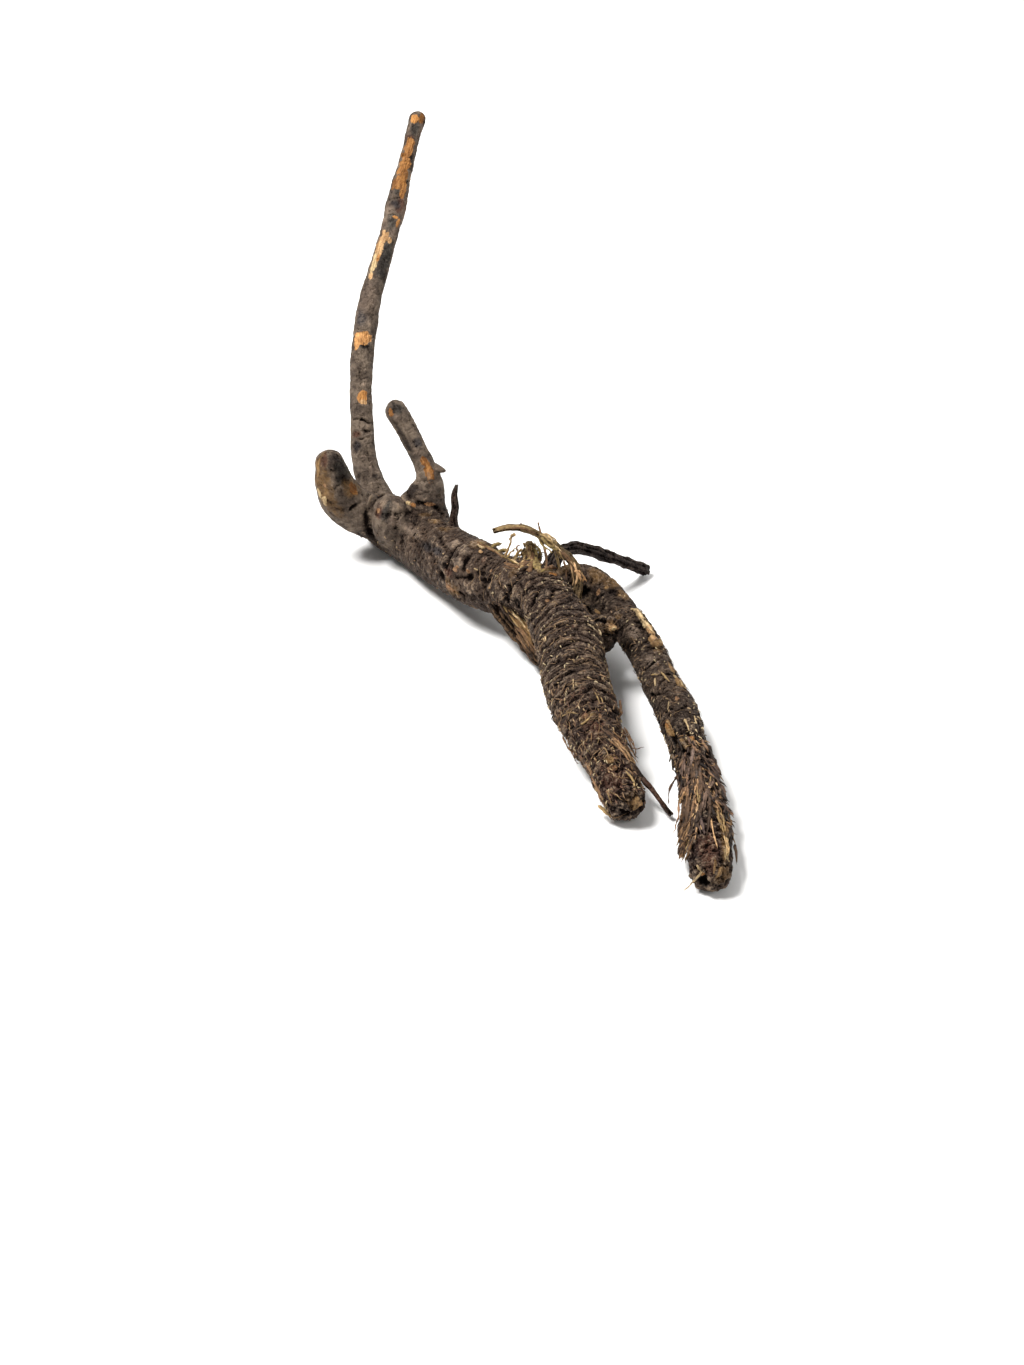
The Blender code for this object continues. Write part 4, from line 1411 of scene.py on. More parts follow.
@dataclass(kw_only=True)
class TornRoot(BarkBody):
    """The root torn off under the trunk: bare brown wood with a long, shaggy grain."""

    name: str = "torn_root"
    stretches: Stretches = whole(TORN_ROOT)
    voxel: float = 0.20
    finish: BarkFinish = BARE_WOOD
    roughness: float = 2.2
    tint: str | None = "#402f21"


@dataclass(kw_only=True)
class BackRootlet(BarkBody):
    """The slender dark root behind the fork, shrunk into long ridges."""

    name: str = "back_rootlet"
    stretches: Stretches = whole(BACK_ROOTLET)
    voxel: float = 0.18
    finish: BarkFinish = SHRUNKEN_BARK
    roughness: float = 1.3
    tint: str | None = "#372a22"


@dataclass(kw_only=True)
class TanStrand(BarkBody):
    """The dry, olive-tan strand that bows over the tuft."""

    name: str = "tan_strand"
    stretches: Stretches = whole(TAN_STRAND)
    voxel: float = 0.15
    finish: BarkFinish = BARE_WOOD
    smoothing: int = 4
    roughness: float = 0.9
    tint: str | None = "#8a734e"


@dataclass(kw_only=True)
class Rootlets(BarkBody):
    """The two thin rootlets, one upright on the trunk and one at the thick root's tip."""

    name: str = "rootlets"
    stretches: Stretches = whole(ROOTLET, TIP_ROOTLET)
    voxel: float = 0.14
    finish: BarkFinish = SHRUNKEN_BARK
    marks: tuple[Mark, ...] = ROOTLET_MARKS
    smoothing: int = 4
    roughness: float = 0.7
    tint: str | None = "#4b392d"


@dataclass(frozen=True)
class FibreFinish:
    """Dry root fibre: straw-like, matt, pale where it is clean and brown where it is dusted by the bark."""

    name: str = "dry_root_fibre"
    roughness: float = 0.65
    shine: float = 0.2

    def material(self) -> bpy.types.Material:
        """Builds the material, which takes each fibre's own colour and mottles it along its length."""
        made = bpy.data.materials.new(self.name)
        made.use_nodes = True
        tree = made.node_tree
        shader = tree.nodes["Principled BSDF"]
        tint = add_node(tree, "ShaderNodeAttribute", output="Color", attribute_name="tint")
        place = add_node(tree, "ShaderNodeTexCoord", output="Object")
        place = add_node(tree, "ShaderNodeMapping", {"Vector": place, "Scale": (1 / MM,) * 3})
        mottle = add_node(tree, "ShaderNodeTexNoise", {"Vector": place, "Scale": 1.1, "Detail": 3.0})
        limits = {"Value": mottle, "From Min": 0.3, "From Max": 0.7, "To Min": 0.45, "To Max": 1.2}
        shade = add_node(tree, "ShaderNodeMapRange", limits)
        colour = add_node(tree, "ShaderNodeVectorMath", {0: tint, "Scale": shade}, operation="SCALE")
        tree.links.new(colour, shader.inputs["Base Color"])
        shader.inputs["Roughness"].default_value = self.roughness
        shader.inputs["Specular IOR Level"].default_value = self.shine
        return made


def strand_mesh(
    name: str, paths: np.ndarray, radii: np.ndarray, tints: np.ndarray, sides: int
) -> bpy.types.Object:
    """Makes many thin strands one mesh. Each is closed at its foot and ends in a point.

    Args:
        name: The piece's name.
        paths: For each strand, the places along it, in millimetres.
        radii: For each strand, its radius at each place.
        tints: For each strand, its linear colour.
        sides: Corners around a strand.

    Returns:
        The object.
    """
    count, rows = paths.shape[:2]
    onward = np.gradient(paths, axis=1)
    onward /= np.linalg.norm(onward, axis=2, keepdims=True)
    least = np.eye(3)[np.abs(paths[:, -1] - paths[:, 0]).argmin(axis=1)][:, None, :]
    level = np.cross(onward, least)
    level /= np.linalg.norm(level, axis=2, keepdims=True)
    upper = np.cross(onward, level)
    angles = np.arange(sides) * 2 * math.pi / sides
    rim = np.cos(angles)[:, None] * level[:, :, None] + np.sin(angles)[:, None] * upper[:, :, None]
    rings = (paths[:, :, None] + rim * radii[:, :, None, None])[:, :-1].reshape(count, -1, 3)
    corners = np.concatenate((rings, paths[:, -1:]), axis=1)
    # A strand that lies on the floor is pressed flat there.
    corners[..., 2] = np.maximum(corners[..., 2], SKIN_FLOOR)
    tip = (rows - 1) * sides
    faces = [tuple(range(sides))[::-1]]
    for row, side in itertools.product(range(rows - 2), range(sides)):
        one, other = row * sides + side, row * sides + (side + 1) % sides
        faces.append((one, other, other + sides, one + sides))
    faces += [(tip - sides + side, tip - sides + (side + 1) % sides, tip) for side in range(sides)]
    mesh = bpy.data.meshes.new(name)
    step = tip + 1
    every = [tuple(corner + step * k for corner in face) for k in range(count) for face in faces]
    mesh.from_pydata(corners.reshape(-1, 3).tolist(), [], every)
    made = bpy.data.objects.new(name, mesh)
    bpy.context.scene.collection.objects.link(made)
    colours = np.repeat(np.column_stack((tints, np.ones(count))), step, axis=0)
    store(made, "tint", colours)
    return made


# How high over the floor strands stay at least, in millimetres: their skin, and the paths of fibres and shreds.
SKIN_FLOOR, FIBRE_FLOOR, SHRED_FLOOR = 0.02, 0.15, 0.3

# How far outside a limb's plain surface the bark is sought from, in millimetres.
CLEARANCE = 4

# How high a fibre's middle lies over the bark, in millimetres, and how deep its foot is in it, as a share of that.
MIDDLE_LIFT, FOOT_DEPTH = (0.05, 0.30), 0.25

# How thick a fibre is at three shares of its length, and a shred at four, where the last is the shred's own taper.
FIBRE_TAPER, SHRED_TAPER = ((0, 0.4, 1), (0.8, 1.0, 0.4)), ((0, 0.12, 0.55, 1), (0.8, 1, 1))

# How far a shred swells and shrinks along it, and at most how many times as far. How thick it is against its bundle.
KNOBS, MOST_KNOBS, SHRED_WIDTHS = 0.35, 1.5, (0.75, 1.2)

# How light a fibre and a shred are against their colour.
FIBRE_SHADES, SHRED_SHADES = (0.7, 1.25), (0.7, 1.2)


@dataclass
class FibreCover:
    """Fibres that lie on the bark of a body's first limb, all around it.

    span is where they start along the limb. heading is the way they run, in degrees from the limb's own direction,
    and its spread. lift is how high their tips stand over the bark. Spans, lengths, thicknesses and lifts are from
    and to, in millimetres. curl is how far a fibre turns from row to row, in radians.
    """

    name: str
    body: BarkBody
    count: int
    span: tuple[float, float]
    length: tuple[float, float]
    thickness: tuple[float, float]
    heading: tuple[float, float]
    lift: tuple[float, float]
    colours: tuple[str, ...]
    curl: float
    seed: int
    rows: int = 5
    sides: int = 3
    finish: FibreFinish = FibreFinish()

    def build(self) -> bpy.types.Object:
        """Lays the fibres.

        Returns:
            The finished piece.
        """
        draw = np.random.default_rng(self.seed)
        line = self.body.lines[self.body.stretches[0][0].name]
        count, steps = self.count, self.rows - 1
        along = draw.uniform(*self.span, count)
        angle = np.radians(draw.uniform(-180.0, 180.0, count))
        heading = np.radians(draw.normal(*self.heading, count))
        length = draw.uniform(*self.length, count)
        lift = draw.uniform(*self.lift, count)
        middle_lift = draw.uniform(*MIDDLE_LIFT, count)
        paths = np.empty((count, self.rows, 3))
        for row in range(self.rows):
            share = row / steps
            height = np.interp(share, (0.0, 0.3), (-FOOT_DEPTH, 1.0)) * middle_lift + lift * share**2
            paths[:, row] = self.on_bark(line, along, angle, height)
            radius = np.maximum(line.radii[line.at(along)], 1.0)
            along = np.clip(along + length / steps * np.cos(heading), 0, line.length - 0.3)
            angle = angle + length / steps * np.sin(heading) / radius
            heading = heading + draw.normal(0, self.curl, count)
        paths[:, :, 2] = np.maximum(paths[:, :, 2], FIBRE_FLOOR)
        thick = draw.uniform(*self.thickness, count) / 2
        radii = thick[:, None] * np.interp(np.linspace(0, 1, self.rows), *FIBRE_TAPER)
        known = np.array([linear(colour)[:3] for colour in self.colours])
        tints = known[draw.integers(len(known), size=count)] * draw.uniform(*FIBRE_SHADES, (count, 1))
        made = strand_mesh(self.name, paths, radii, tints, self.sides)
        made.data.materials.append(self.finish.material())
        return into_frame(made)

    def on_bark(self, line: Line, along: np.ndarray, angle: np.ndarray, height: np.ndarray) -> np.ndarray:
        """Places over the bark.

        Args:
            line: The limb's centre line.
            along: Distances along it.
            angle: Angles around it.
            height: Heights over the bark there.

        Returns:
            The places, in station millimetres.
        """
        index = line.at(along)
        outward = line.outward(index, angle)
        places = np.empty((len(along), 3))
        for k, (middle, out, radius) in enumerate(zip(line.places[index], outward, line.radii[index])):
            start = Vector(middle + out * (radius + CLEARANCE))
            hit = self.body.tree.ray_cast(start, Vector(-out), radius + CLEARANCE)[0]
            foot = np.array(hit) if hit is not None else middle + out * radius
            places[k] = foot + out * height[k]
        return places


# How far from the camera the bark that carries shreds lies, in millimetres, and in how many samples it is sought.
SHRED_REACH, REACH_SAMPLES = (420, 620), 101
# How far about the best of them it is sought again, and in how many samples.
CLOSE_REACH, CLOSE_SAMPLES = 2, 17

# How deep a shred's foot is in what carries it, in millimetres.
SHRED_FOOT = 0.2


@dataclass(frozen=True)
class Shred:
    """Thin strands that follow pixels of the photograph, each after the first a little astray from them.

    thickness is in millimetres. spread is how far a strand strays, in pixels, and curl how far it bends by
    itself, in millimetres. lift is how high it lies over what carries it.
    """

    pixels: Pixels
    thickness: float
    colour: str
    count: int = 1
    spread: float = 1.5
    curl: float = 0.15
    lift: float = 0.15
    taper: float = 0.35


@dataclass
class LooseShreds:
    """Strands that lie on one body of the root, or stand out from it."""

    name: str
    body: BarkBody
    shreds: tuple[Shred, ...]
    seed: int
    rows: int = 10
    sides: int = 5
    finish: FibreFinish = FibreFinish()

    def build(self) -> bpy.types.Object:
        """Lays the strands.

        Returns:
            The finished piece.
        """
        draw = np.random.default_rng(self.seed)
        every = [(shred, self.path(shred, number, draw)) for shred in self.shreds for number in range(shred.count)]
        paths = np.stack([path for _, path in every])
        share, (at, sizes) = np.linspace(0, 1, self.rows), SHRED_TAPER
        tapers = np.array([np.interp(share, at, (*sizes, shred.taper)) for shred, _ in every])
        knobs = 1 + KNOBS * draw.normal(0, 1, tapers.shape).clip(-MOST_KNOBS, MOST_KNOBS)
        thick = np.array([shred.thickness for shred, _ in every]) / 2 * draw.uniform(*SHRED_WIDTHS, len(every))
        tints = np.array([linear(shred.colour)[:3] for shred, _ in every])
        tints *= draw.uniform(*SHRED_SHADES, (len(every), 1))
        made = strand_mesh(self.name, paths, thick[:, None] * tapers * knobs, tints, self.sides)
        made.data.materials.append(self.finish.material())
        return into_frame(made)

    def distance(self, start: Vector, onward: Vector) -> float:
        """How far along a line of sight the bark is, or is nearest where the line passes beside it."""
        met = self.body.tree.ray_cast(start, onward)[0]
        if met is not None:
            return (met - start).length
        way = np.linspace(*SHRED_REACH, REACH_SAMPLES)
        for _ in range(2):
            apart = [self.body.tree.find_nearest(start + onward * far)[3] for far in way]
            best = way[int(np.argmin(apart))]
            way = np.linspace(best - CLOSE_REACH, best + CLOSE_REACH, CLOSE_SAMPLES)
        return float(best)

    def path(self, shred: Shred, number: int, draw: np.random.Generator) -> np.ndarray:
        """Where one strand runs.

        Args:
            shred: The strand's pixels and how it strays.
            number: Which of the shred's strands it is; the first keeps to the pixels.
            draw: The random numbers.

        Returns:
            Its places in station millimetres.
        """
        stray = shred.spread * min(number, 1)
        pixels = np.array(shred.pixels, float)
        pixels += draw.normal(0, stray, 2) + draw.normal(0, stray / 2.2, pixels.shape)
        at = np.linspace(0, len(pixels) - 1, self.rows)
        pixels = np.stack([np.interp(at, np.arange(len(pixels)), pixels[:, k]) for k in (0, 1)], axis=1)
        rays = [VIEW.ray(u, v) for u, v in pixels]
        deep = np.array([self.distance(*ray) for ray in rays]) - shred.lift
        deep[0] += shred.lift + SHRED_FOOT
        path = np.array([ray[0] + ray[1] * far for ray, far in zip(rays, deep)])
        path[1:-1] = (path[:-2] + 2 * path[1:-1] + path[2:]) / 4
        astray = draw.uniform(0, 50, 3)
        bend = np.stack([swell(path / 1.4 + astray, 80 + k) for k in range(3)], axis=1)
        path += shred.curl * bend * np.linspace(0.2, 1.5, self.rows)[:, None]
        path[:, 2] = np.maximum(path[:, 2], SHRED_FLOOR)
        return path


# Colours of dry strands.
STRAW, PALE_STRAW, BROWN_STRAW = "#a08459", "#c2a67c", "#6f5238"
DARK_STRAW, MOSSY_STRAW = "#3f2f23", "#857045"

# Colours of the fine bits of bark and fibre.
CRUMBS = ("#6b5240", "#8c6f55", "#b79b76", "#4a382c", "#3a2c22")
FLECKS = ("#c8b28c", "#a98e6b", "#8a6f55")
THREADS = ("#7d654f", "#6b5442", "#95795c", "#3a2c22")
HAIRS = ("#5c4438", "#473428", "#33271f", "#745645", "#96785a")
SHAG = ("#5a463a", "#33261d", "#2a201a", "#7c5f48", "#4a3a32")
FIBRES = ("#4f3c2e", "#6f5540", "#2a201a", "#a07c56", "#c09c70")
TIP_FIBRES = ("#5f4938", "#8a6a4a", "#a98a62", "#4c3828")

# The dry tuft in the fork and the strands on top of the trunk.
TUFT = table(
    Shred,
    (((477, 541), (485, 545), (494, 550), (503, 556), (512, 561), (519, 565)), 0.6, "#80693f", 1, 0.6, 0.3, 0.4),
    (((477, 542), (486, 547), (496, 553), (505, 559)), 0.6, BROWN_STRAW, 2, 1.0, 0.3, 0.3),
    (((510, 560), (515, 562), (520, 566)), 0.5, PALE_STRAW, 2, 0.5),
    (((492, 547), (496, 545), (501, 545)), 0.9, MOSSY_STRAW, 2, 0.7),
    (((478, 545), (482, 548), (486, 548)), 1.1, PALE_STRAW),
    (((499, 552), (503, 550), (507, 551)), 0.8, MOSSY_STRAW, 2, 0.7),
    (((505, 556), (508, 549), (511, 543), (511, 538), (514, 535)), 0.8, "#8a6f48", 1, 0, 0.15, 0.2, 1.0),
    (((510, 540), (512, 536), (515, 534), (515, 537)), 0.8, "#94794f", 2, 0.4, 0.1),
    (((520, 558), (518, 552), (516, 548), (518, 545), (521, 546)), 0.55, BROWN_STRAW, 1, 0, 0.2, 0.2, 1.0),
    (((522, 569), (524, 561), (528, 554), (529, 543)), 0.6, STRAW, 5, 1.6, 0.6, 0.3),
    (((529, 570), (533, 562), (531, 552), (534, 543)), 1.0, BROWN_STRAW, 7, 1.6, 0.8, 0.3),
    (((538, 569), (535, 562), (537, 552), (532, 543)), 0.9, MOSSY_STRAW, 6, 1.8, 0.8, 0.3),
    (((519, 566), (528, 563), (536, 564), (543, 560)), 0.6, BROWN_STRAW, 5, 1.6, 0.6, 0.5),
    (((522, 560), (530, 556), (537, 558), (543, 554)), 0.7, DARK_STRAW, 6, 1.8, 0.8, 0.4),
    (((527, 546), (532, 551), (530, 558), (535, 566)), 0.5, STRAW, 5, 2.0, 0.6, 0.8),
    (((512, 563), (518, 556), (523, 553), (527, 558)), 0.5, "#8d7348", 6, 2.4, 0.7, 0.6),
    (((526, 546), (529, 543), (533, 546), (530, 550)), 1.0, "#6a5535", 5, 1.4, 0.6, 0.3),
    (((522, 556), (527, 551), (533, 553), (539, 549)), 0.7, "#57452c", 6, 1.8, 0.7, 0.4),
    (((527, 567), (532, 560), (538, 562), (541, 567)), 0.8, MOSSY_STRAW, 4, 2.0, 0.6, 0.6),
    (((524, 566), (531, 562), (538, 566)), 0.8, DARK_STRAW, 6, 3.0, 0.6, 0.4),
    (((546, 571), (547, 562), (545, 552), (543, 542), (541, 536)), 0.6, BROWN_STRAW, 3, 0.7, 0.4),
    (((561, 573), (559, 562), (556, 552), (553, 545)), 0.35, STRAW, 2, 1.0, 0.3),
    (((566, 580), (566, 570), (563, 560), (560, 553)), 0.35, BROWN_STRAW, 2, 1.0, 0.3),
    (((545, 570), (552, 567), (558, 569)), 0.8, BROWN_STRAW, 3, 0.8, 0.2),
    (((505, 564), (512, 567), (521, 568)), 0.5, BROWN_STRAW, 4, 1.5, 0.3),
    (((540, 572), (547, 569), (555, 571)), 0.4, MOSSY_STRAW, 4, 1.6, 0.3),
)
# What frays from the bowed tan strand itself.
FRAYED_STRAND = table(
    Shred,
    (((494, 530), (506, 527), (520, 526), (534, 531)), 0.4, STRAW, 4, 0.9, 0.15, 0.1),
    (((500, 529), (515, 527), (527, 529), (540, 535)), 0.4, BROWN_STRAW, 3, 1.0, 0.15, 0.1),
    (((519, 526), (521, 524), (521, 522)), 0.5, BROWN_STRAW, 1, 0),
    (((541, 534), (539, 527), (538, 521)), 0.4, BROWN_STRAW, 1, 0, 0.1, 0.0, 0.8),
    (((540, 534), (546, 536), (551, 541), (556, 547)), 0.55, STRAW, 4, 1.2, 0.6, 0.1),
    (((542, 537), (546, 543), (550, 547), (556, 549)), 0.6, MOSSY_STRAW, 5, 1.4, 0.7, 0.1),
    (((545, 534), (549, 535), (552, 538), (555, 543)), 0.5, PALE_STRAW, 2, 1.0, 0.3, 0.1),
    (((554, 545), (562, 552), (570, 560), (577, 571)), 0.4, PALE_STRAW, 3, 0.8, 0.15, 0.1),
    (((556, 548), (565, 556), (572, 565), (577, 578)), 0.4, BROWN_STRAW, 4, 1.0, 0.15, 0.1),
    (((573, 562), (577, 571), (577, 579), (575, 586)), 0.5, "#c29c72", 3, 1.0, 0.15, 0.1),
    (((576, 570), (580, 575), (583, 582)), 0.6, "#c09468", 4, 1.2, 0.2, 0.1),
    (((557, 546), (560, 553), (563, 560)), 0.35, STRAW, 3, 1.2, 0.3, 0.1),
)
# Bundles and single straws on the thick root's flanks and tip.
RINGED_ROOT_SHREDS = table(
    Shred,
    (((611, 735), (621, 745), (630.7, 756), (637.6, 769)), 0.36, "#94714f", 5, 2.6, 0.2, 0.5),
    (((616, 741), (624, 749), (631, 757), (636, 767)), 0.36, "#ab8862", 4, 2.2, 0.2, 0.6),
    (((600, 727), (610, 736), (620, 746), (629, 758)), 0.34, "#5a4434", 5, 3.0, 0.25, 0.3),
    # These near-black strands lie low between the paler ones, as painted shade in the gaps of the bundle.
    (((600, 728), (612, 740), (624, 752), (633, 765)), 0.45, "#2c211a", 7, 3.0, 0.2, 0.15),
    (((624, 746), (630, 753), (636, 764)), 0.40, "#b9946a", 2, 1.0, 0.15, 0.6),
    (((625, 771), (632, 778), (634.7, 785), (634.7, 793)), 0.42, STRAW, 2, 0.8),
    (((586, 762), (591.7, 774.6), (596, 787), (604, 803), (614, 820.5)), 0.42, "#8a684a", 4, 1.6, 0.25, 0.3),
    (((570, 749), (574.4, 758), (579, 763.7)), 0.4, BROWN_STRAW, 1, 0, 0.3),
    (((606.6, 789.5), (611.8, 805.6)), 0.42, STRAW), (((596, 787), (602, 798.7), (609, 809)), 0.4, STRAW, 2, 1.0),
    (((623.8, 727.6), (629.6, 738), (634, 748), (636, 756)), 0.35, BROWN_STRAW, 3, 1.0, 0.4),
    (((632, 748), (637.6, 749), (645, 746.5)), 0.32, BROWN_STRAW, 1, 0, 0.3),
    (((573, 679), (574, 690)), 0.38, PALE_STRAW), (((565, 698), (564, 705)), 0.34, PALE_STRAW),
    (((587, 677), (594, 680)), 0.36, PALE_STRAW), (((545, 636), (546, 642)), 0.34, PALE_STRAW, 2, 2.0),
    (((563, 716), (571, 712), (579, 714)), 0.3, STRAW, 2, 1.5, 0.5),
    (((596, 690), (603, 702), (602, 712)), 0.3, STRAW, 2, 2.0, 0.5),
    (((580, 725), (588, 720), (592, 711)), 0.34, STRAW, 2, 1.5, 0.5),
    (((619, 700), (621, 712), (618, 722)), 0.34, BROWN_STRAW, 3, 2.0, 0.4),
    (((563, 737), (568, 747), (575, 757)), 0.4, BROWN_STRAW, 2, 1.0, 0.3),
    (((600, 806), (607, 812), (612, 818)), 0.6, STRAW, 3, 1.5, 0.3),
)
# Pale threads at the side root's start and bends, and the shag of its tip.
SIDE_ROOT_SHREDS = table(
    Shred,
    (((698, 804), (696, 816), (693, 827)), 0.75, "#c49f76", 1, 0, 0.05, 0.9),
    (((711, 819), (714, 836), (718, 849)), 0.7, "#b99268", 1, 0, 0.1, 0.9),
    (((697, 826), (696, 834), (695, 840)), 0.6, "#a9825c", 1, 0, 0.05, 0.8),
    (((686, 788), (682, 797), (680, 805)), 0.6, "#a9825c", 2, 1.0, 0.1, 0.8),
    (((711, 774.6), (705.3, 798.7)), 0.5, STRAW, 2, 1.0), (((684.6, 719.5), (689.8, 731)), 0.5, PALE_STRAW),
    (((694.4, 716.6), (696.7, 724)), 0.5, PALE_STRAW), (((669, 702), (668, 710)), 0.5, PALE_STRAW),
    (((685.8, 788.4), (679, 803)), 0.45, STRAW, 2, 1.5), (((682, 858), (688, 840)), 0.5, STRAW, 2, 1.2),
    (((677.8, 828.6), (680, 847)), 0.5, BROWN_STRAW, 3, 1.5), (((655, 678), (655, 687)), 0.5, PALE_STRAW),
    (((651, 675), (659, 674)), 0.42, STRAW), (((661, 672), (670, 682)), 0.4, STRAW),
    (((704, 870), (693, 882), (682, 893)), 0.4, PALE_STRAW, 1, 0),
    (((690, 757), (687, 768), (683, 781)), 0.7, DARK_STRAW, 6, 4.0, 0.3, 0.3),
    (((685, 754), (683, 766), (682, 778)), 0.6, "#6b5548", 4, 4.0, 0.2, 0.5),
    (((696, 760), (697, 778), (694, 796)), 0.8, "#55402f", 6, 4.0, 0.3, 0.4),
    (((694, 748), (693, 757), (691, 767)), 0.9, "#6e5b50", 2, 1.0, 0.1, 0.5),
    (((706, 784), (709, 796), (708, 810)), 0.7, "#4a382b", 6, 4.0, 0.3, 0.4),
    (((712, 778), (706, 794), (703, 808)), 0.6, "#7a6252", 4, 2.5, 0.2, 0.6),
    (((688, 800), (684, 820), (680, 840)), 0.7, "#55402f", 8, 3.5, 0.3, 0.5),
    (((702, 800), (700, 816), (697, 832)), 0.8, DARK_STRAW, 6, 4.0, 0.3, 0.4),
    (((697, 815), (702, 826), (705, 835)), 0.7, "#5c4a42", 3, 2.0, 0.2, 0.6),
    (((714, 796), (718, 806), (722, 814)), 0.5, "#94724f", 4, 3.0, 0.3, 0.4),
    (((690, 800), (685, 820), (678, 838)), 0.45, "#8a684a", 5, 4.5, 0.3, 0.8),
    (((700, 770), (697, 792), (695, 815)), 0.36, "#a07c58", 4, 5.0, 0.3, 0.6),
    (((720, 812), (724, 822), (725, 832)), 0.4, "#94784f", 4, 2.0, 0.3, 0.3),
    (((724, 836), (727, 846), (726, 858)), 0.4, "#a98b62", 3, 2.0, 0.3, 0.3),
    (((688, 822), (683, 838), (678, 849)), 0.5, "#8a6a4a", 5, 2.0, 0.3, 0.6),
    (((692, 834), (687, 850), (682, 862)), 0.5, BROWN_STRAW, 6, 2.0, 0.3, 0.6),
    (((689, 826), (684, 842), (680, 856)), 0.7, DARK_STRAW, 6, 2.4, 0.3, 0.5),
    (((676, 778), (671, 785), (668, 795), (669, 805)), 0.8, "#4a3426", 1, 0, 0.1, 0.5),
    (((697, 768), (697, 778), (698, 788)), 0.8, "#55483f", 3, 2.5, 0.2, 0.5),
    (((697, 789), (698, 797), (698, 804)), 0.5, STRAW, 2, 1.0, 0.2, 0.8),
    (((734, 846), (736, 855), (737, 865)), 0.4, "#4a382b", 3, 0.8, 0.2),
    (((638, 611), (646, 623), (655, 635)), 0.4, PALE_STRAW, 4, 1.2, 0.2),
)
# Fibres torn loose at the root under the trunk.
TORN_ROOT_SHREDS = table(
    Shred,
    (((500, 596), (508, 592), (516, 596), (512, 604)), 0.5, BROWN_STRAW, 6, 3.0, 0.6, 0.3),
    (((504, 602), (512, 598), (520, 606)), 0.6, DARK_STRAW, 6, 3.0, 0.6, 0.3),
    (((520, 630), (528, 642), (535, 656)), 0.5, BROWN_STRAW, 6, 2.5, 0.3, 0.3),
    (((507, 604), (513, 616), (521, 628)), 0.6, DARK_STRAW, 5, 3.0, 0.3, 0.3),
    (((506, 604), (517, 615), (526, 624), (533, 633), (537, 642)), 0.5, "#a07a4e", 4, 2.2, 0.25, 0.3),
    (((512, 612), (520, 622), (528, 634), (533, 646)), 0.5, "#7f603c", 7, 2.2, 0.25, 0.3),
    (((509, 606), (515, 615), (523, 624), (531, 634)), 0.5, PALE_STRAW, 5, 1.8, 0.3, 0.4),
    (((507, 598), (512, 607), (518, 617), (527, 628)), 0.55, STRAW, 5, 2.2, 0.4, 0.3),
)


@dataclass(frozen=True)
class Lamp:
    """A soft studio light: where it stands in metres, how wide it is and its power in watts."""

    name: str
    place: tuple[float, float, float]
    size: float
    watts: float


@dataclass
class Studio:
    """A plain pale floor, three soft lights that point at the root, and the camera. Its sizes are in metres."""

    floor_size: float = 6.0
    floor_colour: str = "#f4f3f1"
    floor_roughness: float = 0.9
    floor_shine: float = 0.2
    lamps: tuple[Lamp, ...] = table(
        Lamp,
        ("key", (-0.45, -0.05, 0.95), 0.35, 19.0),
        ("fill", (0.8, -0.6, 0.7), 0.8, 4.0),
        ("back", (0.1, 0.9, 0.8), 0.8, 5.0),
    )
    sky: str = "#ffffff"
    sky_strength: float = 0.26
    aim: tuple[float, float, float] = (0, 0, 0.02)
    nearest_view: float = 0.01

    def build(self) -> None:
        """Sets up the floor, the lights, the sky and the camera."""
        self.lay_floor()
        for lamp in self.lamps:
            self.hang(lamp)
        world = bpy.data.worlds.new("studio")
        bpy.context.scene.world = world
        world.use_nodes = True
        background = world.node_tree.nodes["Background"]
        background.inputs["Color"].default_value = linear(self.sky)
        background.inputs["Strength"].default_value = self.sky_strength
        bpy.context.scene.view_settings.view_transform = "Standard"
        self.place_camera()

    def lay_floor(self) -> None:
        """A matt, painted floor, which gives soft contact shadows."""
        bpy.ops.object.select_all(action="DESELECT")
        bpy.ops.mesh.primitive_plane_add(size=self.floor_size)
        floor = bpy.context.object
        floor.name = floor.data.name = "floor"
        paint = bpy.data.materials.new("matt_floor_paint")
        paint.use_nodes = True
        shader = paint.node_tree.nodes["Principled BSDF"]
        shader.inputs["Base Color"].default_value = linear(self.floor_colour)
        shader.inputs["Roughness"].default_value = self.floor_roughness
        shader.inputs["Specular IOR Level"].default_value = self.floor_shine
        floor.data.materials.append(paint)

    def hang(self, lamp: Lamp) -> None:
        """Hangs a square light that points at the root.

        Args:
            lamp: The light.
        """
        bpy.ops.object.select_all(action="DESELECT")
        bpy.ops.object.light_add(type="AREA", location=lamp.place)
        light = bpy.context.object
        light.name = lamp.name
        light.data.energy = lamp.watts
        light.data.size = lamp.size
        light.rotation_euler = (Vector(self.aim) - Vector(lamp.place)).to_track_quat("-Z", "Y").to_euler()

    def place_camera(self) -> None:
        """Puts the camera at the photograph's viewpoint."""
        bpy.ops.object.select_all(action="DESELECT")
        place = [value * MM for value in VIEW.place]
        bpy.ops.object.camera_add(location=place, rotation=(VIEW.pitch, 0.0, 0.0))
        camera = bpy.context.object
        camera.data.lens = VIEW.lens
        camera.data.sensor_width = VIEW.film
        camera.data.clip_start = self.nearest_view
        bpy.context.scene.camera = camera


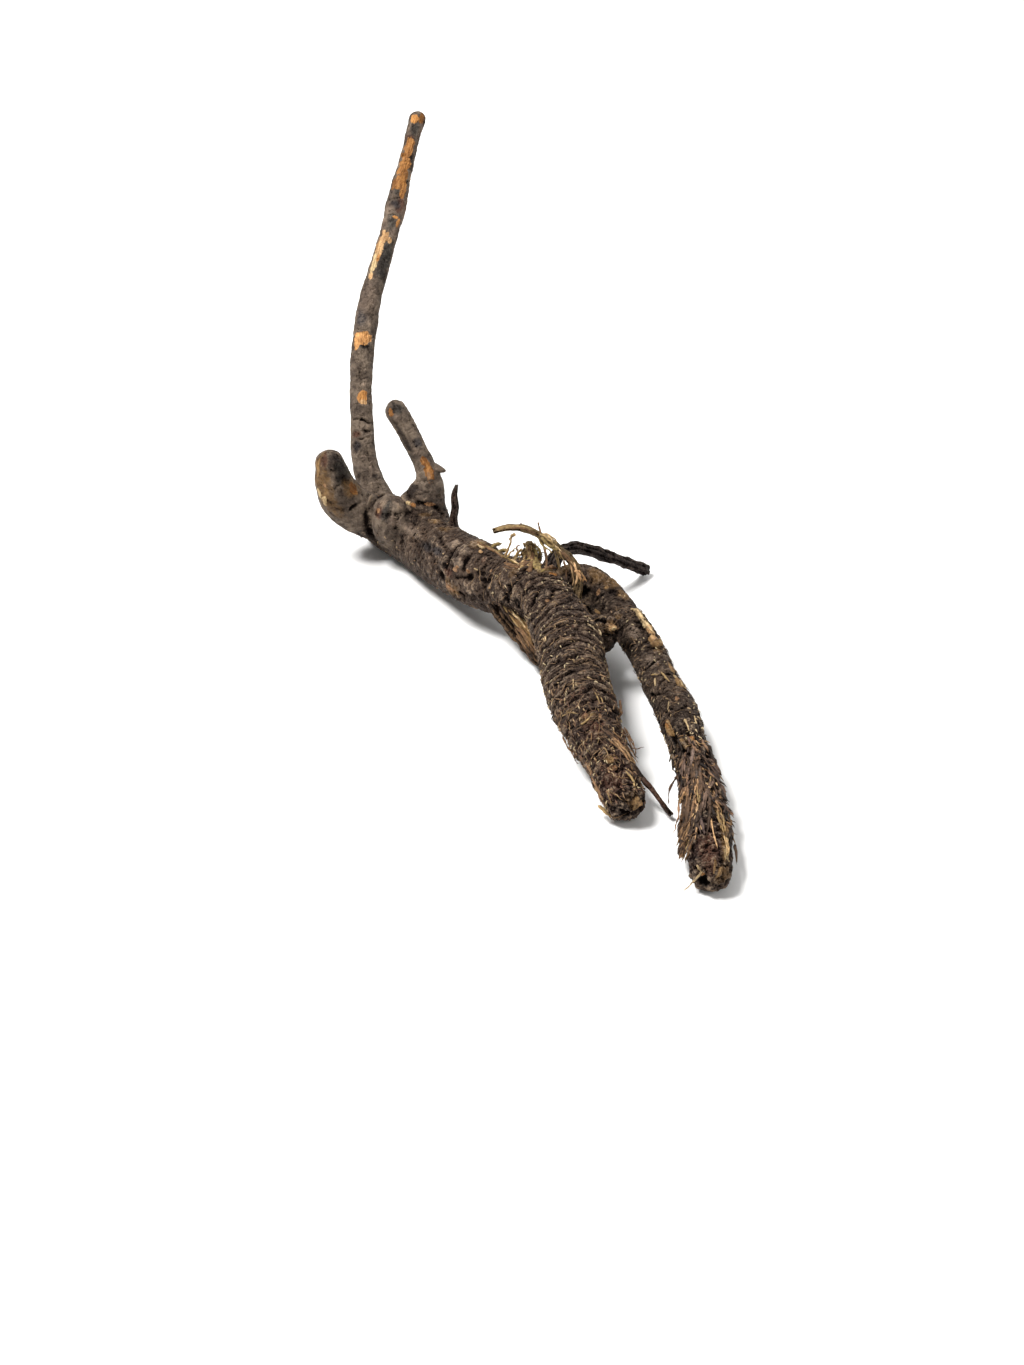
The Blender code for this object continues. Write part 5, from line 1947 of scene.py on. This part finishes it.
def main() -> None:
    """Builds the root's pieces in order, reports each of them, and sets up the studio."""
    logging.basicConfig(level=logging.INFO, format="%(message)s")
    crown, fork, ringed, side, torn, tan = Crown(), Fork(), RingedRoot(), SideRoot(), TornRoot(), TanStrand()
    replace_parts(crown.build(), "osha_root")
    for body in (fork, ringed, side, torn, tan, BackRootlet(), Rootlets()):
        body.build()
    covers = table(
        FibreCover,
        ("ringed_root_flecks", ringed, 520, (104, 162), (0.7, 1.5), (0.26, 0.42), (0, 30), (0.0, 0.25), FLECKS, 0.1, 1),
        ("ringed_root_threads", ringed, 420, (104, 150), (1.8, 5.0), (0.16, 0.28), (90, 12), (0.0, 0.25), THREADS,
         0.2, 7, 7),
        ("ringed_root_hairs", ringed, 520, (124, 163), (0.8, 2.4), (0.22, 0.38), (5, 40), (0.0, 0.5), HAIRS, 0.3, 8),
        ("fork_flecks", fork, 260, (70, 106), (0.6, 1.3), (0.24, 0.38), (0, 30), (0.0, 0.2), FLECKS, 0.1, 2),
        ("fork_threads", fork, 260, (62, 106), (1.8, 5.0), (0.15, 0.26), (90, 12), (0.0, 0.2), THREADS, 0.2, 9, 7),
        ("crown_crumbs", crown, 200, (6, 56), (0.4, 1.0), (0.2, 0.34), (50, 70), (0.0, 0.2), CRUMBS, 0.4, 6),
        ("side_root_shag", side, 150, (86, 114), (2.4, 6.5), (0.5, 1.0), (0, 24), (0.2, 1.3), SHAG, 0.14, 3, 5, 4),
        ("side_root_fibres", side, 250, (85, 120), (1.2, 5.0), (0.28, 0.5), (0, 28), (0.3, 1.2), FIBRES, 0.14, 13),
        ("side_root_flecks", side, 300, (24, 90), (0.6, 1.5), (0.24, 0.38), (0, 45), (0.0, 0.25), FLECKS, 0.2, 4),
        ("side_root_threads", side, 160, (24, 80), (1.5, 4.0), (0.15, 0.26), (70, 30), (0.0, 0.25), THREADS,
         0.2, 10, 7),
        ("tip_fibres", ringed, 80, (132, 160), (2.0, 6.0), (0.22, 0.38), (0, 18), (0.1, 0.7), TIP_FIBRES, 0.12, 5),
    )
    shreds = table(
        LooseShreds,
        ("tuft", fork, TUFT, 11),
        ("frayed_strand", tan, FRAYED_STRAND, 12),
        ("ringed_root_shreds", ringed, RINGED_ROOT_SHREDS, 13),
        ("side_root_shreds", side, SIDE_ROOT_SHREDS, 14),
        ("torn_root_shreds", torn, TORN_ROOT_SHREDS, 15),
    )
    for piece in (*covers, *shreds):
        piece.build()
    Studio().build()


if __name__ == "__main__":
    main()
